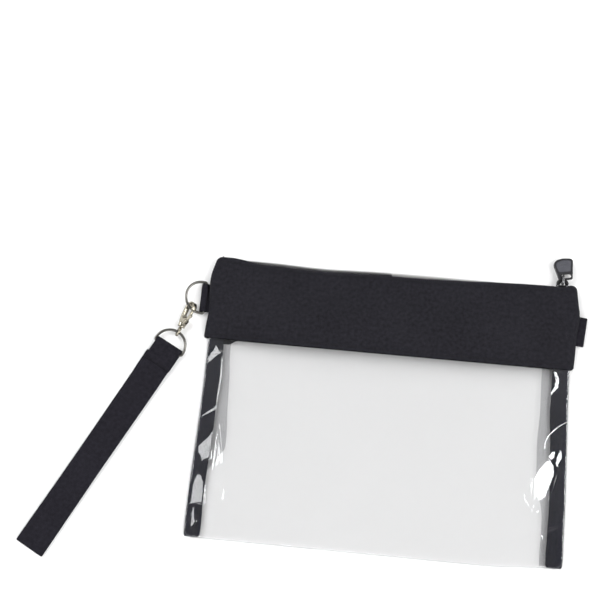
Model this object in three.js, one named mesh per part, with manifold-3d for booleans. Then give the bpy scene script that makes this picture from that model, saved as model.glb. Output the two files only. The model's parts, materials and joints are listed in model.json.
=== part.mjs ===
// A clear zip pouch with a black fabric top band, lying on its back, with its wrist strap
// clipped to a side ring. Millimetres, +Z up. The origin is the centre of the back face:
// +X runs along the zip to the closed end, +Y from the bottom fold to the zip.
import * as THREE from 'three';
import { mergeVertices } from 'three/addons/utils/BufferGeometryUtils.js';
import Module from 'manifold-3d';

const wasm = await Module();
wasm.setup();

// ---------------------------------------------------------------- driving dimensions

const GAP = 0.3; // the least space left between two pieces

const POUCH = { width: 250, height: 192.6, zipDrop: 4.2, bandHeight: 53.5, clearInset: 2, cornerRadius: 6 };
const SHEET = { clear: 0.5, fabric: 1.0, lining: 0.5, webbing: 0.8, tape: 0.5 };
const FRONT = { sideHeight: 4.6, swell: 7.9, ridgeRise: 3.6, ridgeStart: 60 };
const SEAM = { overlap: 7.4, bindingWidth: 9.6, bindingThickness: 1.2, bindingZ: 2.2, facingInset: 15 };
const ZIP = {
  centreZ: 4.7,
  halfLength: 122.4,
  coilInset: 5.5,
  coilReach: 1.8,
  coilDepth: 1.7,
  spine: 1,
  toothPitch: 4,
  toothReach: 0.6,
};
const SLIDER = { x: 116, length: 8, wing: 1.1, outerWidth: 6, innerWidth: 4.6, postWidth: 1.4 };
const PULL = { pivotRise: 1.3, linkLength: 5.6, wire: 1.3, plate: 3 };
const FAN = {
  lean: 11,
  middle: 1,
  foot: 2.6,
  footHalf: 4.3,
  slotHalf: 3.2,
  slotRadius: 1.2,
  length: 12.2,
  topHalf: 6.3,
};
const TAB = { width: 19.4, leftY: 66.5, rightY: 66.8, fold: 2.1, reach: 9.1, rightTurn: -5.9 };
const RING = { halfWidth: 11, side: 2.6, strapSide: 1.8, arc: 10.8, wire: 0.95, tilt: 20, hookAlong: -8.8 };
const CLASP = { thickness: 3.4, hookInner: 2.9, hookOuter: 4.8, wireOffset: 0.3, lean: 46 };
const EYE = { radius: 2.5, wire: 0.8, shank: 0.8, head: 1.4 };
const STRAP = { length: 163.4, width: 20.4, coverLength: 12.6, dropLength: 12 };
const STRAP_PLACE = { barX: -150.2, barY: 29.45, directionX: -0.464, directionY: -0.886, ringRise: 6 };

const halfWidth = POUCH.width / 2;
const halfHeight = POUCH.height / 2;
const clearHalfWidth = halfWidth - POUCH.clearInset;
const bandTop = halfHeight - POUCH.zipDrop;
const bandBottom = bandTop - POUCH.bandHeight;
const clearTop = bandBottom + SEAM.overlap;
const foldRadius = (FRONT.sideHeight - GAP) / 2;
const panelBottom = -halfHeight + foldRadius + GAP;
const bindingTop = bandTop - 6;

// ---------------------------------------------------------------- materials

const paint = (colour, roughness, metalness = 0) =>
  new THREE.MeshStandardMaterial({ color: colour, roughness, metalness });

const clearPvc = () =>
  new THREE.MeshStandardMaterial({ color: 0xe9ecee, roughness: 0.08, transparent: true, opacity: 0.25 });
const blackFabric = () => paint(0x2e2e32, 0.85);
const blackTape = () => paint(0x33333a, 0.8);
const blackWebbing = () => paint(0x2a2830, 0.8);
const coilNylon = () => paint(0x26262a, 0.5);
const sliderMetal = () => paint(0x35353a, 0.4, 0.6);
const moulding = () => paint(0x56575d, 0.5);
const paleGold = () => paint(0xc9bfa4, 0.25, 1);

// ---------------------------------------------------------------- shared geometry helpers

/** A closed solid for manifold-3d, from any closed three.js geometry. */
function toSolid(geometry) {
  const bare = geometry.clone();
  bare.deleteAttribute('normal');
  bare.deleteAttribute('uv');
  const merged = mergeVertices(bare, 1e-4);
  const vertProperties = new Float32Array(merged.attributes.position.array);
  const triVerts = new Uint32Array(merged.index.array);
  return new wasm.Manifold(new wasm.Mesh({ numProp: 3, vertProperties, triVerts }));
}

/** A three.js geometry from a manifold-3d solid. */
function toGeometry(solid) {
  const mesh = solid.getMesh();
  const geometry = new THREE.BufferGeometry();
  geometry.setAttribute('position', new THREE.BufferAttribute(new Float32Array(mesh.vertProperties), 3));
  geometry.setIndex(new THREE.BufferAttribute(new Uint32Array(mesh.triVerts), 1));
  geometry.computeVertexNormals();
  return geometry;
}

const join = (...parts) => toGeometry(parts.map(toSolid).reduce((whole, next) => whole.add(next)));

function cut(base, ...tools) {
  return toGeometry(tools.map(toSolid).reduce((whole, next) => whole.subtract(next), toSolid(base)));
}

/** A box given by its lowest and highest corners. */
function boxBetween(low, high) {
  const [x, y, z] = [0, 1, 2].map((axis) => high[axis] - low[axis]);
  const geometry = new THREE.BoxGeometry(x, y, z);
  geometry.translate((low[0] + high[0]) / 2, (low[1] + high[1]) / 2, (low[2] + high[2]) / 2);
  return geometry;
}

/** A flat outline pushed through to a plate, centred on its own plane. */
function plate(shape, thickness, curveSegments = 16) {
  const geometry = new THREE.ExtrudeGeometry(shape, { depth: thickness, bevelEnabled: false, curveSegments });
  geometry.translate(0, 0, -thickness / 2);
  return geometry;
}

/** Turns a plate drawn in X-Y so that its outline lies in Y-Z and it runs along X. */
function runAlongX(geometry) {
  const turn = new THREE.Matrix4().makeBasis(
    new THREE.Vector3(0, 1, 0),
    new THREE.Vector3(0, 0, 1),
    new THREE.Vector3(1, 0, 0),
  );
  return geometry.applyMatrix4(turn);
}

/** Turns a plate drawn in X-Y so that its outline lies in X-Z and it runs along Y. */
function runAlongY(geometry) {
  return geometry.rotateX(Math.PI / 2);
}

/** A round bar between two points. */
function bar(start, end, radius, sides = 12) {
  const from = new THREE.Vector3(...start);
  const along = new THREE.Vector3(...end).sub(from);
  const geometry = new THREE.CylinderGeometry(radius, radius, along.length(), sides);
  const turn = new THREE.Quaternion().setFromUnitVectors(
    new THREE.Vector3(0, 1, 0),
    along.clone().normalize(),
  );
  geometry.applyQuaternion(turn);
  geometry.translate(...from.addScaledVector(along, 0.5).toArray());
  return geometry;
}

/** A round wire bent along a smooth line through the points. */
function bentWire(points, radius, steps, sides = 8) {
  const section = new THREE.Shape();
  section.absarc(0, 0, radius, 0, 2 * Math.PI);
  const path = new THREE.CatmullRomCurve3(points);
  return new THREE.ExtrudeGeometry(section, {
    steps,
    extrudePath: path,
    curveSegments: sides,
    bevelEnabled: false,
  });
}

/** An outline through a list of [x, y] corners. */
function outline(corners) {
  return new THREE.Shape(corners.map(([x, y]) => new THREE.Vector2(x, y)));
}

const smoothstep = (value, low, high) => {
  const t = Math.min(Math.max((value - low) / (high - low), 0), 1);
  return t * t * (3 - 2 * t);
};

/** A named sub-part placed in the model. */
function piece(name, geometry, material, parent) {
  const mesh = new THREE.Mesh(geometry, material);
  mesh.name = name;
  parent.add(mesh);
  return mesh;
}

/** A group at a place, turned so that its X and Y run along two given directions. */
function framedGroup(origin, xAxis, yAxis, parent) {
  const zAxis = new THREE.Vector3().crossVectors(xAxis, yAxis);
  const frame = new THREE.Group();
  frame.quaternion.setFromRotationMatrix(new THREE.Matrix4().makeBasis(xAxis, yAxis, zAxis));
  frame.position.copy(origin);
  parent.add(frame);
  return frame;
}

// ---------------------------------------------------------------- the pouch's front form

/** Height of the fabric's underside on the front wall: low at the seams, swelling in the middle. */
function frontHeight(x, y) {
  const across = 1 - Math.min(Math.abs(x / clearHalfWidth), 1) ** 4;
  const along = 1 - Math.min(Math.abs(y / bandTop), 1) ** 3.5;
  const ridge = smoothstep(y, FRONT.ridgeStart, bandTop);
  return FRONT.sideHeight + FRONT.swell * across * along * (1 - ridge) + FRONT.ridgeRise * ridge;
}

/** Half the band's width at a height, with its upper corners rounded. */
function bandHalfWidth(y) {
  const r = POUCH.cornerRadius;
  const intoCorner = THREE.MathUtils.clamp(y - (bandTop - r), 0, r);
  return halfWidth - r + Math.sqrt(r ** 2 - intoCorner ** 2);
}

/** A thin wall that follows the front form, `below` under the fabric's underside. */
function frontWall({ halfWidthAt, bottom, top, below, thickness, columns, rows }) {
  const geometry = new THREE.BoxGeometry(2, top - bottom, thickness, columns, rows, 1);
  const place = geometry.attributes.position;
  for (let i = 0; i < place.count; i += 1) {
    const y = place.getY(i) + (top + bottom) / 2;
    const x = place.getX(i) * halfWidthAt(y);
    const z = place.getZ(i) + thickness / 2 + frontHeight(x, y) - below - thickness;
    place.setXYZ(i, x, y, z);
  }
  return toGeometry(toSolid(geometry));
}

// ---------------------------------------------------------------- the back wall

function clearBackPanel() {
  const low = 0;
  const raised = SHEET.fabric + 0.35;
  const foldY = -halfHeight + foldRadius;
  const shape = new THREE.Shape();
  shape.moveTo(clearTop, raised);
  shape.lineTo(bandBottom - GAP, raised);
  shape.lineTo(bandBottom - 2.6, low);
  shape.lineTo(foldY, low);
  shape.absarc(foldY, foldRadius, foldRadius, -Math.PI / 2, -1.5 * Math.PI, true);
  shape.absarc(foldY, foldRadius, foldRadius - SHEET.clear, -1.5 * Math.PI, -Math.PI / 2, false);
  shape.lineTo(bandBottom - 2.9, SHEET.clear);
  shape.lineTo(bandBottom - GAP - 0.3, raised + SHEET.clear);
  shape.lineTo(clearTop, raised + SHEET.clear);
  return runAlongX(plate(shape, 2 * clearHalfWidth, 10));
}

function backBand() {
  const r = POUCH.cornerRadius;
  const shape = new THREE.Shape();
  shape.moveTo(-halfWidth, bandBottom);
  shape.lineTo(halfWidth, bandBottom);
  shape.lineTo(halfWidth, bandTop - r);
  shape.absarc(halfWidth - r, bandTop - r, r, 0, Math.PI / 2, false);
  shape.absarc(-halfWidth + r, bandTop - r, r, Math.PI / 2, Math.PI, false);
  return plate(shape, SHEET.fabric, 8).translate(0, 0, SHEET.fabric / 2);
}

function backFacing() {
  const reach = halfWidth - SEAM.facingInset;
  const low = SHEET.fabric + 0.35 + SHEET.clear + GAP;
  return boxBetween([-reach, bandBottom + 1.4, low], [reach, bandTop - 6, low + SHEET.lining]);
}

function sideBinding(side) {
  const inner = side * (clearHalfWidth - SEAM.bindingWidth);
  const outer = side * (clearHalfWidth - 0.4);
  const low = SEAM.bindingZ;
  return boxBetween(
    [Math.min(inner, outer), -halfHeight + 6, low],
    [Math.max(inner, outer), bindingTop, low + SEAM.bindingThickness],
  );
}

// ---------------------------------------------------------------- side tabs

/** A webbing tab folded round a ring's bar, its neck reaching into the side seam. */
function ringTab() {
  const hole = RING.wire + GAP + 0.05;
  const neck = 0.85;
  const turn = Math.asin(neck / TAB.fold);
  const neckEnd = 5.5;
  const shape = new THREE.Shape();
  shape.absarc(0, 0, TAB.fold, turn, 2 * Math.PI - turn, false);
  shape.lineTo(neckEnd, -neck);
  shape.lineTo(neckEnd, neck);
  const eye = new THREE.Path();
  eye.absarc(0, 0, hole, 0, 2 * Math.PI, true);
  shape.holes.push(eye);
  return runAlongY(plate(shape, TAB.width, 14));
}

/** A webbing tab folded flat on itself, with nothing in it. */
function emptyTab() {
  const half = 1.15;
  const slit = 0.25;
  const shape = new THREE.Shape();
  shape.moveTo(0, -half);
  shape.lineTo(TAB.reach - half, -half);
  shape.absarc(TAB.reach - half, 0, half, -Math.PI / 2, Math.PI / 2, false);
  shape.lineTo(0, half);
  const fold = new THREE.Path();
  fold.moveTo(1.5, -slit);
  fold.lineTo(1.5, slit);
  fold.lineTo(TAB.reach - 2 * half, slit);
  fold.lineTo(TAB.reach - 2 * half, -slit);
  shape.holes.push(fold);
  return runAlongY(plate(shape, TAB.width, 8));
}

// ---------------------------------------------------------------- the zip

const tapeY = bandTop + GAP;
const coilY = tapeY + SHEET.tape + GAP;
const wingOuterY = coilY + ZIP.coilDepth + 0.5;
const channelInnerY = tapeY - 0.4;
const wingTopY = wingOuterY + SLIDER.wing;
const sliderFront = SLIDER.x + SLIDER.length / 2;

/** One tape, an L in section: a leg under the band's edge and a leg up to the coil. */
function zipTape(side) {
  const flat = 3.2;
  const inner = 1.55;
  const legs = outline([
    [bandTop - 2, side * flat],
    [tapeY + SHEET.tape, side * flat],
    [tapeY + SHEET.tape, side * inner],
    [tapeY, side * inner],
    [tapeY, side * (flat - SHEET.tape)],
    [bandTop - 2, side * (flat - SHEET.tape)],
  ]);
  return runAlongX(plate(legs, 2 * ZIP.halfLength)).translate(0, 0, ZIP.centreZ);
}

/** One half of the coil: a spine with teeth that reach between the other half's teeth. */
function zipCoil(side) {
  const start = -ZIP.halfLength + ZIP.coilInset;
  const end = SLIDER.x + 1;
  const toothLength = ZIP.toothPitch / 2 - GAP - 0.1;
  const stagger = side > 0 ? 0 : ZIP.toothPitch / 2;
  const comb = [
    [start, side * ZIP.coilReach],
    [start, side * ZIP.spine],
  ];
  for (let x = start + 0.5 + stagger; x + toothLength < end; x += ZIP.toothPitch) {
    comb.push([x, side * ZIP.spine], [x, -side * ZIP.toothReach]);
    comb.push([x + toothLength, -side * ZIP.toothReach], [x + toothLength, side * ZIP.spine]);
  }
  comb.push([end, side * ZIP.spine], [end, side * ZIP.coilReach]);
  const geometry = runAlongY(plate(outline(comb), ZIP.coilDepth));
  return geometry.translate(0, coilY + ZIP.coilDepth / 2, ZIP.centreZ);
}

function bottomStop() {
  const left = -ZIP.halfLength + 2.9;
  return boxBetween(
    [left, coilY, ZIP.centreZ - ZIP.coilReach],
    [left + 2.2, coilY + ZIP.coilDepth, ZIP.centreZ + ZIP.coilReach],
  );
}

function topStop(side) {
  const near = ZIP.centreZ + side * 1;
  const far = ZIP.centreZ + side * ZIP.coilReach;
  return boxBetween(
    [sliderFront + 0.6, coilY, Math.min(near, far)],
    [sliderFront + 2.1, coilY + ZIP.coilDepth, Math.max(near, far)],
  );
}

/** A wing of the slider, wider at the end that parts the coil. */
function sliderWing(width, y) {
  const half = SLIDER.length / 2;
  const shape = outline([
    [-half, -width / 2 + 0.6],
    [half - 1, -width / 2],
    [half, -width / 2 + 1],
    [half, width / 2 - 1],
    [half - 1, width / 2],
    [-half, width / 2 - 0.6],
  ]);
  const geometry = plate(shape, SLIDER.wing);
  geometry.rotateX(Math.PI / 2);
  return geometry.translate(SLIDER.x, y, ZIP.centreZ);
}

function sliderBody() {
  const outer = sliderWing(SLIDER.outerWidth, wingOuterY + SLIDER.wing / 2);
  const inner = sliderWing(SLIDER.innerWidth, channelInnerY - SLIDER.wing / 2);
  const postX = SLIDER.x + 1.4;
  const post = boxBetween(
    [postX, channelInnerY - 0.2, ZIP.centreZ - SLIDER.postWidth / 2],
    [postX + 2, wingOuterY + 0.2, ZIP.centreZ + SLIDER.postWidth / 2],
  );
  const crownOuter = 2;
  const crown = new THREE.Shape();
  crown.moveTo(crownOuter, -PULL.pivotRise - 0.2);
  crown.lineTo(crownOuter, 0);
  crown.absarc(0, 0, crownOuter, 0, Math.PI, false);
  crown.lineTo(-crownOuter, -PULL.pivotRise - 0.2);
  const eye = new THREE.Path();
  eye.absarc(0, 0, PULL.wire / 2 + 0.4, 0, 2 * Math.PI, true);
  crown.holes.push(eye);
  const crownPlate = plate(crown, 2.2, 14).translate(SLIDER.x, wingTopY + PULL.pivotRise, ZIP.centreZ);
  return join(outer, inner, post, crownPlate);
}

const linkPivotY = wingTopY + PULL.pivotRise;
const pullerPivotY = linkPivotY + PULL.linkLength;

/** The wire link that joins the puller to the slider's crown. */
function pullLink() {
  const reach = PULL.plate / 2 + GAP + 0.15 + PULL.wire / 2;
  const radius = PULL.wire / 2;
  const over = radius * 0.9;
  const low = linkPivotY;
  const high = pullerPivotY;
  const bars = [low, high].map((y) => bar([0, y, -reach - over], [0, y, reach + over], radius));
  const sides = [-1, 1].map((side) => bar([0, low, side * reach], [0, high, side * reach], radius));
  return join(...bars, ...sides).translate(SLIDER.x, 0, ZIP.centreZ);
}

/** The moulded puller: a foot with a slot for the link, widening to a fan with a domed top. */
function puller() {
  const { middle, foot, footHalf, slotHalf, slotRadius, length, topHalf } = FAN;
  const corner = 1.2;
  const shoulder = 3;
  const shape = new THREE.Shape();
  shape.moveTo(middle - footHalf + corner, -foot);
  shape.lineTo(middle + footHalf - corner, -foot);
  shape.quadraticCurveTo(middle + footHalf, -foot, middle + footHalf, -foot + corner);
  shape.lineTo(middle + topHalf, length - shoulder);
  shape.quadraticCurveTo(middle + topHalf + 0.2, length - 0.4, middle + topHalf - shoulder, length);
  shape.quadraticCurveTo(middle, length + 0.8, middle - topHalf + shoulder, length);
  shape.quadraticCurveTo(middle - topHalf - 0.2, length - 0.4, middle - topHalf, length - shoulder);
  shape.lineTo(middle - footHalf, -foot + corner);
  shape.quadraticCurveTo(middle - footHalf, -foot, middle - footHalf + corner, -foot);
  const slot = new THREE.Path();
  const slotEnd = slotHalf - slotRadius;
  slot.absarc(middle + slotEnd, 0, slotRadius, -Math.PI / 2, Math.PI / 2, false);
  slot.absarc(middle - slotEnd, 0, slotRadius, Math.PI / 2, 1.5 * Math.PI, false);
  shape.holes.push(slot);
  const fan = plate(shape, PULL.plate, 8).rotateZ(THREE.MathUtils.degToRad(FAN.lean));
  return fan.translate(SLIDER.x, pullerPivotY, ZIP.centreZ);
}

// ---------------------------------------------------------------- D-rings

/** How far a D-ring's arc stands from its bar, at a distance along the bar from its middle. */
const ringReach = (along) => RING.side + RING.arc * Math.sqrt(1 - (along / RING.halfWidth) ** 2);
const strapRingDepth = RING.strapSide + RING.arc;

/** A D-ring with its bar along Y, straight sides of a given length and its arc out along +X. */
function dRing(side) {
  const points = [new THREE.Vector3(0, -RING.halfWidth, 0)];
  const arcSteps = 14;
  for (let i = 0; i <= arcSteps; i += 1) {
    const angle = (Math.PI * i) / arcSteps;
    const out = side + RING.arc * Math.sin(angle);
    points.push(new THREE.Vector3(out, -RING.halfWidth * Math.cos(angle), 0));
  }
  points.push(new THREE.Vector3(0, RING.halfWidth, 0));
  const arc = bentWire(points, RING.wire, 34);
  const past = RING.halfWidth + RING.wire * 0.8;
  const straight = bar([0, -past, 0], [0, past, 0], RING.wire, 10);
  return join(arc, straight);
}

// ---------------------------------------------------------------- the swivel clasp

const pivot = { across: 1.9, along: -9.4 };
const collar = { radius: 2.7, low: -14.6, high: -10.6 };
const headPocket = { low: -12.65, high: -11.35, radius: 1.7 };

/** The hook, its spine and the swivel's collar, drawn with the hook's centre at the origin. */
function claspHook() {
  const { hookInner, hookOuter, thickness } = CLASP;
  const tip = THREE.MathUtils.degToRad(-8);
  const shape = new THREE.Shape();
  shape.moveTo(-2.6, -12.6);
  shape.quadraticCurveTo(-hookOuter - 0.2, -8, -hookOuter, 0);
  shape.absarc(0, 0, hookOuter, Math.PI, tip, true);
  shape.absarc(0, 0, hookInner, tip, Math.PI, false);
  shape.quadraticCurveTo(-hookInner, -5.2, -1.6, -7.6);
  shape.quadraticCurveTo(-0.6, -8.6, 0.8, -7.7);
  shape.absarc(pivot.across, pivot.along, 1.7, Math.PI * 0.62, -0.35, true);
  shape.lineTo(2.6, -12.6);
  const body = plate(shape, thickness, 12);
  const sleeve = bar([0, collar.low, 0], [0, collar.high, 0], collar.radius, 20);
  const bore = bar([0, collar.low - 1, 0], [0, headPocket.low + 0.2, 0], EYE.shank + GAP, 16);
  const pocket = bar([0, headPocket.low, 0], [0, headPocket.high, 0], headPocket.radius, 16);
  const pinHole = bar(
    [pivot.across, pivot.along, -thickness],
    [pivot.across, pivot.along, thickness],
    0.9,
    12,
  );
  const gateSlot = boxBetween([0.1, -11, -1], [6, -7, 1]);
  return cut(join(body, sleeve), bore, pocket, pinHole, gateSlot);
}

/** The gate: a lever on the pin that closes against the hook's tip, with a thumb lug. */
function claspGate() {
  const heel = 1.25;
  const shape = new THREE.Shape();
  shape.absarc(pivot.across, pivot.along, heel, Math.PI * 0.8, -0.3, false);
  shape.lineTo(3.9, -7.2);
  shape.lineTo(5.6, -5.4);
  shape.quadraticCurveTo(6.1, -4.4, 5.3, -4.1);
  shape.lineTo(4.5, -3.9);
  shape.lineTo(4.6, -1.1);
  shape.lineTo(3.1, -1.1);
  shape.lineTo(2.7, -5.4);
  shape.lineTo(1.5, -7.6);
  const lever = plate(shape, 1.4, 12);
  const hole = bar([pivot.across, pivot.along, -3], [pivot.across, pivot.along, 3], 0.9, 12);
  return cut(lever, hole);
}

function claspPin() {
  const half = CLASP.thickness / 2 - 0.05;
  return bar([pivot.across, pivot.along, -half], [pivot.across, pivot.along, half], 0.58, 12);
}

/** The small compression spring between the spine and the gate. */
function gateSpring() {
  const turns = 3;
  const stepsPerTurn = 10;
  const radius = 0.5;
  const length = 1.7;
  const points = [];
  for (let i = 0; i <= turns * stepsPerTurn; i += 1) {
    const angle = (2 * Math.PI * i) / stepsPerTurn;
    const along = (length * i) / (turns * stepsPerTurn);
    points.push(new THREE.Vector3(along, radius * Math.cos(angle), radius * Math.sin(angle)));
  }
  return bentWire(points, 0.13, turns * stepsPerTurn, 5).translate(-0.75, -6.6, 0);
}

/** The swivel's eye, its shank and the head that keeps it in the collar. */
function swivelEye(toCollar) {
  const ring = new THREE.TorusGeometry(EYE.radius, EYE.wire, 8, 20);
  const headLow = headPocket.low + GAP + toCollar;
  const headHigh = headPocket.high - GAP + toCollar;
  const shank = bar([0, EYE.radius, 0], [0, headLow + 0.2, 0], EYE.shank, 12);
  const head = bar([0, headLow, 0], [0, headHigh, 0], EYE.head, 14);
  return join(ring, shank, head);
}

// ---------------------------------------------------------------- the wrist strap

const strapCentre = SHEET.webbing + GAP / 2;

/** A short cover of webbing folded round the ring's bar and down over the strap's two ends. */
function strapEndCover() {
  const outer = TAB.fold;
  const inner = RING.wire + GAP;
  const end = STRAP.coverLength;
  const shape = new THREE.Shape();
  shape.moveTo(end, outer);
  shape.lineTo(0, outer);
  shape.absarc(0, 0, outer, Math.PI / 2, 1.5 * Math.PI, false);
  shape.lineTo(end, -outer);
  shape.lineTo(end, -inner);
  shape.lineTo(0, -inner);
  shape.absarc(0, 0, inner, -Math.PI / 2, -1.5 * Math.PI, true);
  shape.lineTo(end, inner);
  return plate(shape, TAB.width, 12);
}

/** The strap: one length of webbing doubled flat into a loop, its fold at the far end. */
function strapLoop(barHeight) {
  const start = RING.wire + 2 * GAP + 0.35;
  const dropEnd = STRAP.coverLength + STRAP.dropLength;
  const floorLevel = strapCentre + 0.1 - barHeight;
  const stations = [start, STRAP.coverLength + 0.6];
  for (let i = 1; i <= 4; i += 1) stations.push(STRAP.coverLength + 0.6 + (STRAP.dropLength * i) / 4);
  stations.push(dropEnd + 40, dropEnd + 90, STRAP.length - strapCentre);
  const level = (along) => floorLevel * smoothstep(along, STRAP.coverLength + 0.6, dropEnd + 0.6);
  const upper = stations.map((along) => [along, level(along) + strapCentre]);
  const lower = stations.map((along) => [along, level(along) - strapCentre]);
  const shape = new THREE.Shape(lower.map(([x, y]) => new THREE.Vector2(x, y)));
  const [endX] = stations.slice(-1);
  shape.absarc(endX, floorLevel, strapCentre, -Math.PI / 2, Math.PI / 2, false);
  for (const [x, y] of upper.reverse().slice(1)) shape.lineTo(x, y);
  const slit = stations.slice(1).map((along) => [along, level(along)]);
  const half = GAP / 2;
  const gap = new THREE.Path(slit.map(([x, y]) => new THREE.Vector2(x, y - half)));
  for (const [x, y] of slit.reverse()) gap.lineTo(x, y + half);
  shape.holes.push(gap);
  return plate(shape, STRAP.width, 8);
}

// ---------------------------------------------------------------- assembly

function buildBackWall(parent) {
  piece('clear_back_panel', clearBackPanel(), clearPvc(), parent);
  piece('back_band', backBand(), blackFabric(), parent);
  piece('back_band_facing', backFacing(), blackTape(), parent);
  piece('left_side_binding', sideBinding(-1), blackTape(), parent);
  piece('right_side_binding', sideBinding(1), blackTape(), parent);
}

function buildFrontWall(parent) {
  const clear = frontWall({
    halfWidthAt: () => clearHalfWidth,
    bottom: panelBottom,
    top: clearTop,
    below: GAP,
    thickness: SHEET.clear,
    columns: 30,
    rows: 18,
  });
  const band = frontWall({
    halfWidthAt: bandHalfWidth,
    bottom: bandBottom,
    top: bandTop,
    below: -SHEET.fabric,
    thickness: SHEET.fabric,
    columns: 30,
    rows: 12,
  });
  const facing = frontWall({
    halfWidthAt: () => halfWidth - SEAM.facingInset,
    bottom: bandBottom + 1.4,
    top: bandTop - 6,
    below: 2 * GAP + SHEET.clear,
    thickness: SHEET.lining,
    columns: 24,
    rows: 8,
  });
  piece('clear_front_panel', clear, clearPvc(), parent);
  piece('front_band', band, blackFabric(), parent);
  piece('front_band_facing', facing, blackTape(), parent);
}

function buildZip(parent) {
  piece('back_zip_tape', zipTape(-1), blackTape(), parent);
  piece('front_zip_tape', zipTape(1), blackTape(), parent);
  piece('back_zip_coil', zipCoil(-1), coilNylon(), parent);
  piece('front_zip_coil', zipCoil(1), coilNylon(), parent);
  piece('zip_bottom_stop', bottomStop(), sliderMetal(), parent);
  piece('back_zip_top_stop', topStop(-1), sliderMetal(), parent);
  piece('front_zip_top_stop', topStop(1), sliderMetal(), parent);
  piece('zip_slider_body', sliderBody(), sliderMetal(), parent);
  piece('zip_pull_link', pullLink(), sliderMetal(), parent);
  piece('zip_puller', puller(), moulding(), parent);
}

function buildTabs(parent) {
  const left = piece('left_side_tab', ringTab(), blackWebbing(), parent);
  left.position.set(-halfWidth - 3.9, TAB.leftY, TAB.fold + 0.05);
  const right = piece('right_side_tab', emptyTab(), blackWebbing(), parent);
  right.position.set(clearHalfWidth + 1.5, TAB.rightY, TAB.fold + 0.35);
  right.rotation.z = THREE.MathUtils.degToRad(TAB.rightTurn);
  return left.position;
}

/** The side ring, the clasp hooked on it, the strap's ring in the swivel's eye, and the strap. */
function buildStrapChain(ringBar, parent) {
  const up = new THREE.Vector3(0, 0, 1);
  const tilt = THREE.MathUtils.degToRad(RING.tilt);
  const outward = new THREE.Vector3(-Math.cos(tilt), 0, Math.sin(tilt));
  const bagRing = framedGroup(ringBar, outward, new THREE.Vector3(0, 1, 0), parent);
  piece('bag_d_ring', dRing(RING.side), paleGold(), bagRing);

  const hooked = ringBar.clone().addScaledVector(outward, ringReach(RING.hookAlong));
  hooked.y += RING.hookAlong;

  const strapDirection = new THREE.Vector3(STRAP_PLACE.directionX, STRAP_PLACE.directionY, 0).normalize();
  const strapAcross = new THREE.Vector3().crossVectors(strapDirection, up);
  const strapBar = new THREE.Vector3(STRAP_PLACE.barX, STRAP_PLACE.barY, TAB.fold + 0.05);
  const rise = THREE.MathUtils.degToRad(STRAP_PLACE.ringRise);
  const ringOut = strapDirection.clone().multiplyScalar(-Math.cos(rise)).addScaledVector(up, Math.sin(rise));
  const strapRing = framedGroup(strapBar, ringOut, strapAcross.clone().negate(), parent);
  piece('strap_d_ring', dRing(RING.strapSide), paleGold(), strapRing);

  const eyeCentre = strapBar.clone().addScaledVector(ringOut, strapRingDepth);
  const claspUp = hooked.clone().sub(eyeCentre).normalize();
  const level = new THREE.Vector3().crossVectors(claspUp, up).normalize();
  const lean = THREE.MathUtils.degToRad(CLASP.lean);
  const upright = new THREE.Vector3().crossVectors(level, claspUp);
  const faceOut = level.clone().multiplyScalar(-Math.cos(lean)).addScaledVector(upright, Math.sin(lean));
  const gateSide = new THREE.Vector3().crossVectors(claspUp, faceOut);
  const hookCentre = hooked.clone().addScaledVector(claspUp, -CLASP.wireOffset);
  const clasp = framedGroup(hookCentre, gateSide, claspUp, parent);
  piece('clasp_hook_body', claspHook(), paleGold(), clasp);
  piece('clasp_gate', claspGate(), paleGold(), clasp);
  piece('clasp_gate_pin', claspPin(), paleGold(), clasp);
  piece('clasp_gate_spring', gateSpring(), paleGold(), clasp);

  const eyeToHook = hookCentre.distanceTo(eyeCentre);
  const eye = framedGroup(eyeCentre, upright, claspUp, parent);
  piece('swivel_eye', swivelEye(eyeToHook), paleGold(), eye);

  const strap = framedGroup(strapBar, strapDirection, up, parent);
  piece('strap_end_cover', strapEndCover(), blackWebbing(), strap);
  piece('wrist_strap_loop', strapLoop(strapBar.z), blackWebbing(), strap);
}

const pouch = new THREE.Group();
buildBackWall(pouch);
buildFrontWall(pouch);
buildZip(pouch);
const ringBar = buildTabs(pouch);
buildStrapChain(ringBar, pouch);

export default pouch;
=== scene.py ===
"""A clear zip pouch with a black top band and a clipped-on wrist strap, dressed around its CAD frame.

Shapes are drawn in millimetres in the CAD frame: the pouch lies on its back, +X runs along the zip
and +Y from the bottom fold to the zip. Every mesh is scaled to metres as it is made.
"""

import json
import math

import bmesh
import bpy
import numpy as np
from mathutils import Matrix, Vector


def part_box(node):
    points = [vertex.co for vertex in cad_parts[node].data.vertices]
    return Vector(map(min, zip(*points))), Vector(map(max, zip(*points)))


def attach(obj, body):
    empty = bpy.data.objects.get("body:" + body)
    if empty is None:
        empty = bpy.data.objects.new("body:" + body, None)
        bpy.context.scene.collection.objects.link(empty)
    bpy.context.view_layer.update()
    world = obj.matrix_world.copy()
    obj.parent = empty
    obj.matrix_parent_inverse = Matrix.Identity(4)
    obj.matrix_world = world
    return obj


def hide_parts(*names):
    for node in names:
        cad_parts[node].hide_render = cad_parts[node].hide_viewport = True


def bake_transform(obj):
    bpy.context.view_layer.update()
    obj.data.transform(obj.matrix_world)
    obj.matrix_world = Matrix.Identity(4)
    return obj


MM = 0.001
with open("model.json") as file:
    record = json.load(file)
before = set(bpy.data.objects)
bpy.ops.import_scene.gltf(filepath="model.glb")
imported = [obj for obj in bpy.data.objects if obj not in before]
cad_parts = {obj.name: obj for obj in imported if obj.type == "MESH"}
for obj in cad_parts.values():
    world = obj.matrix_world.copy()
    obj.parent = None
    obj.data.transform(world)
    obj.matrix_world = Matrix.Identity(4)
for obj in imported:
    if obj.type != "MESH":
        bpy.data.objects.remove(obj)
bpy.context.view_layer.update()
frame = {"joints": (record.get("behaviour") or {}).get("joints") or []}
joints = {j["name"]: j for j in frame["joints"]}


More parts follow.
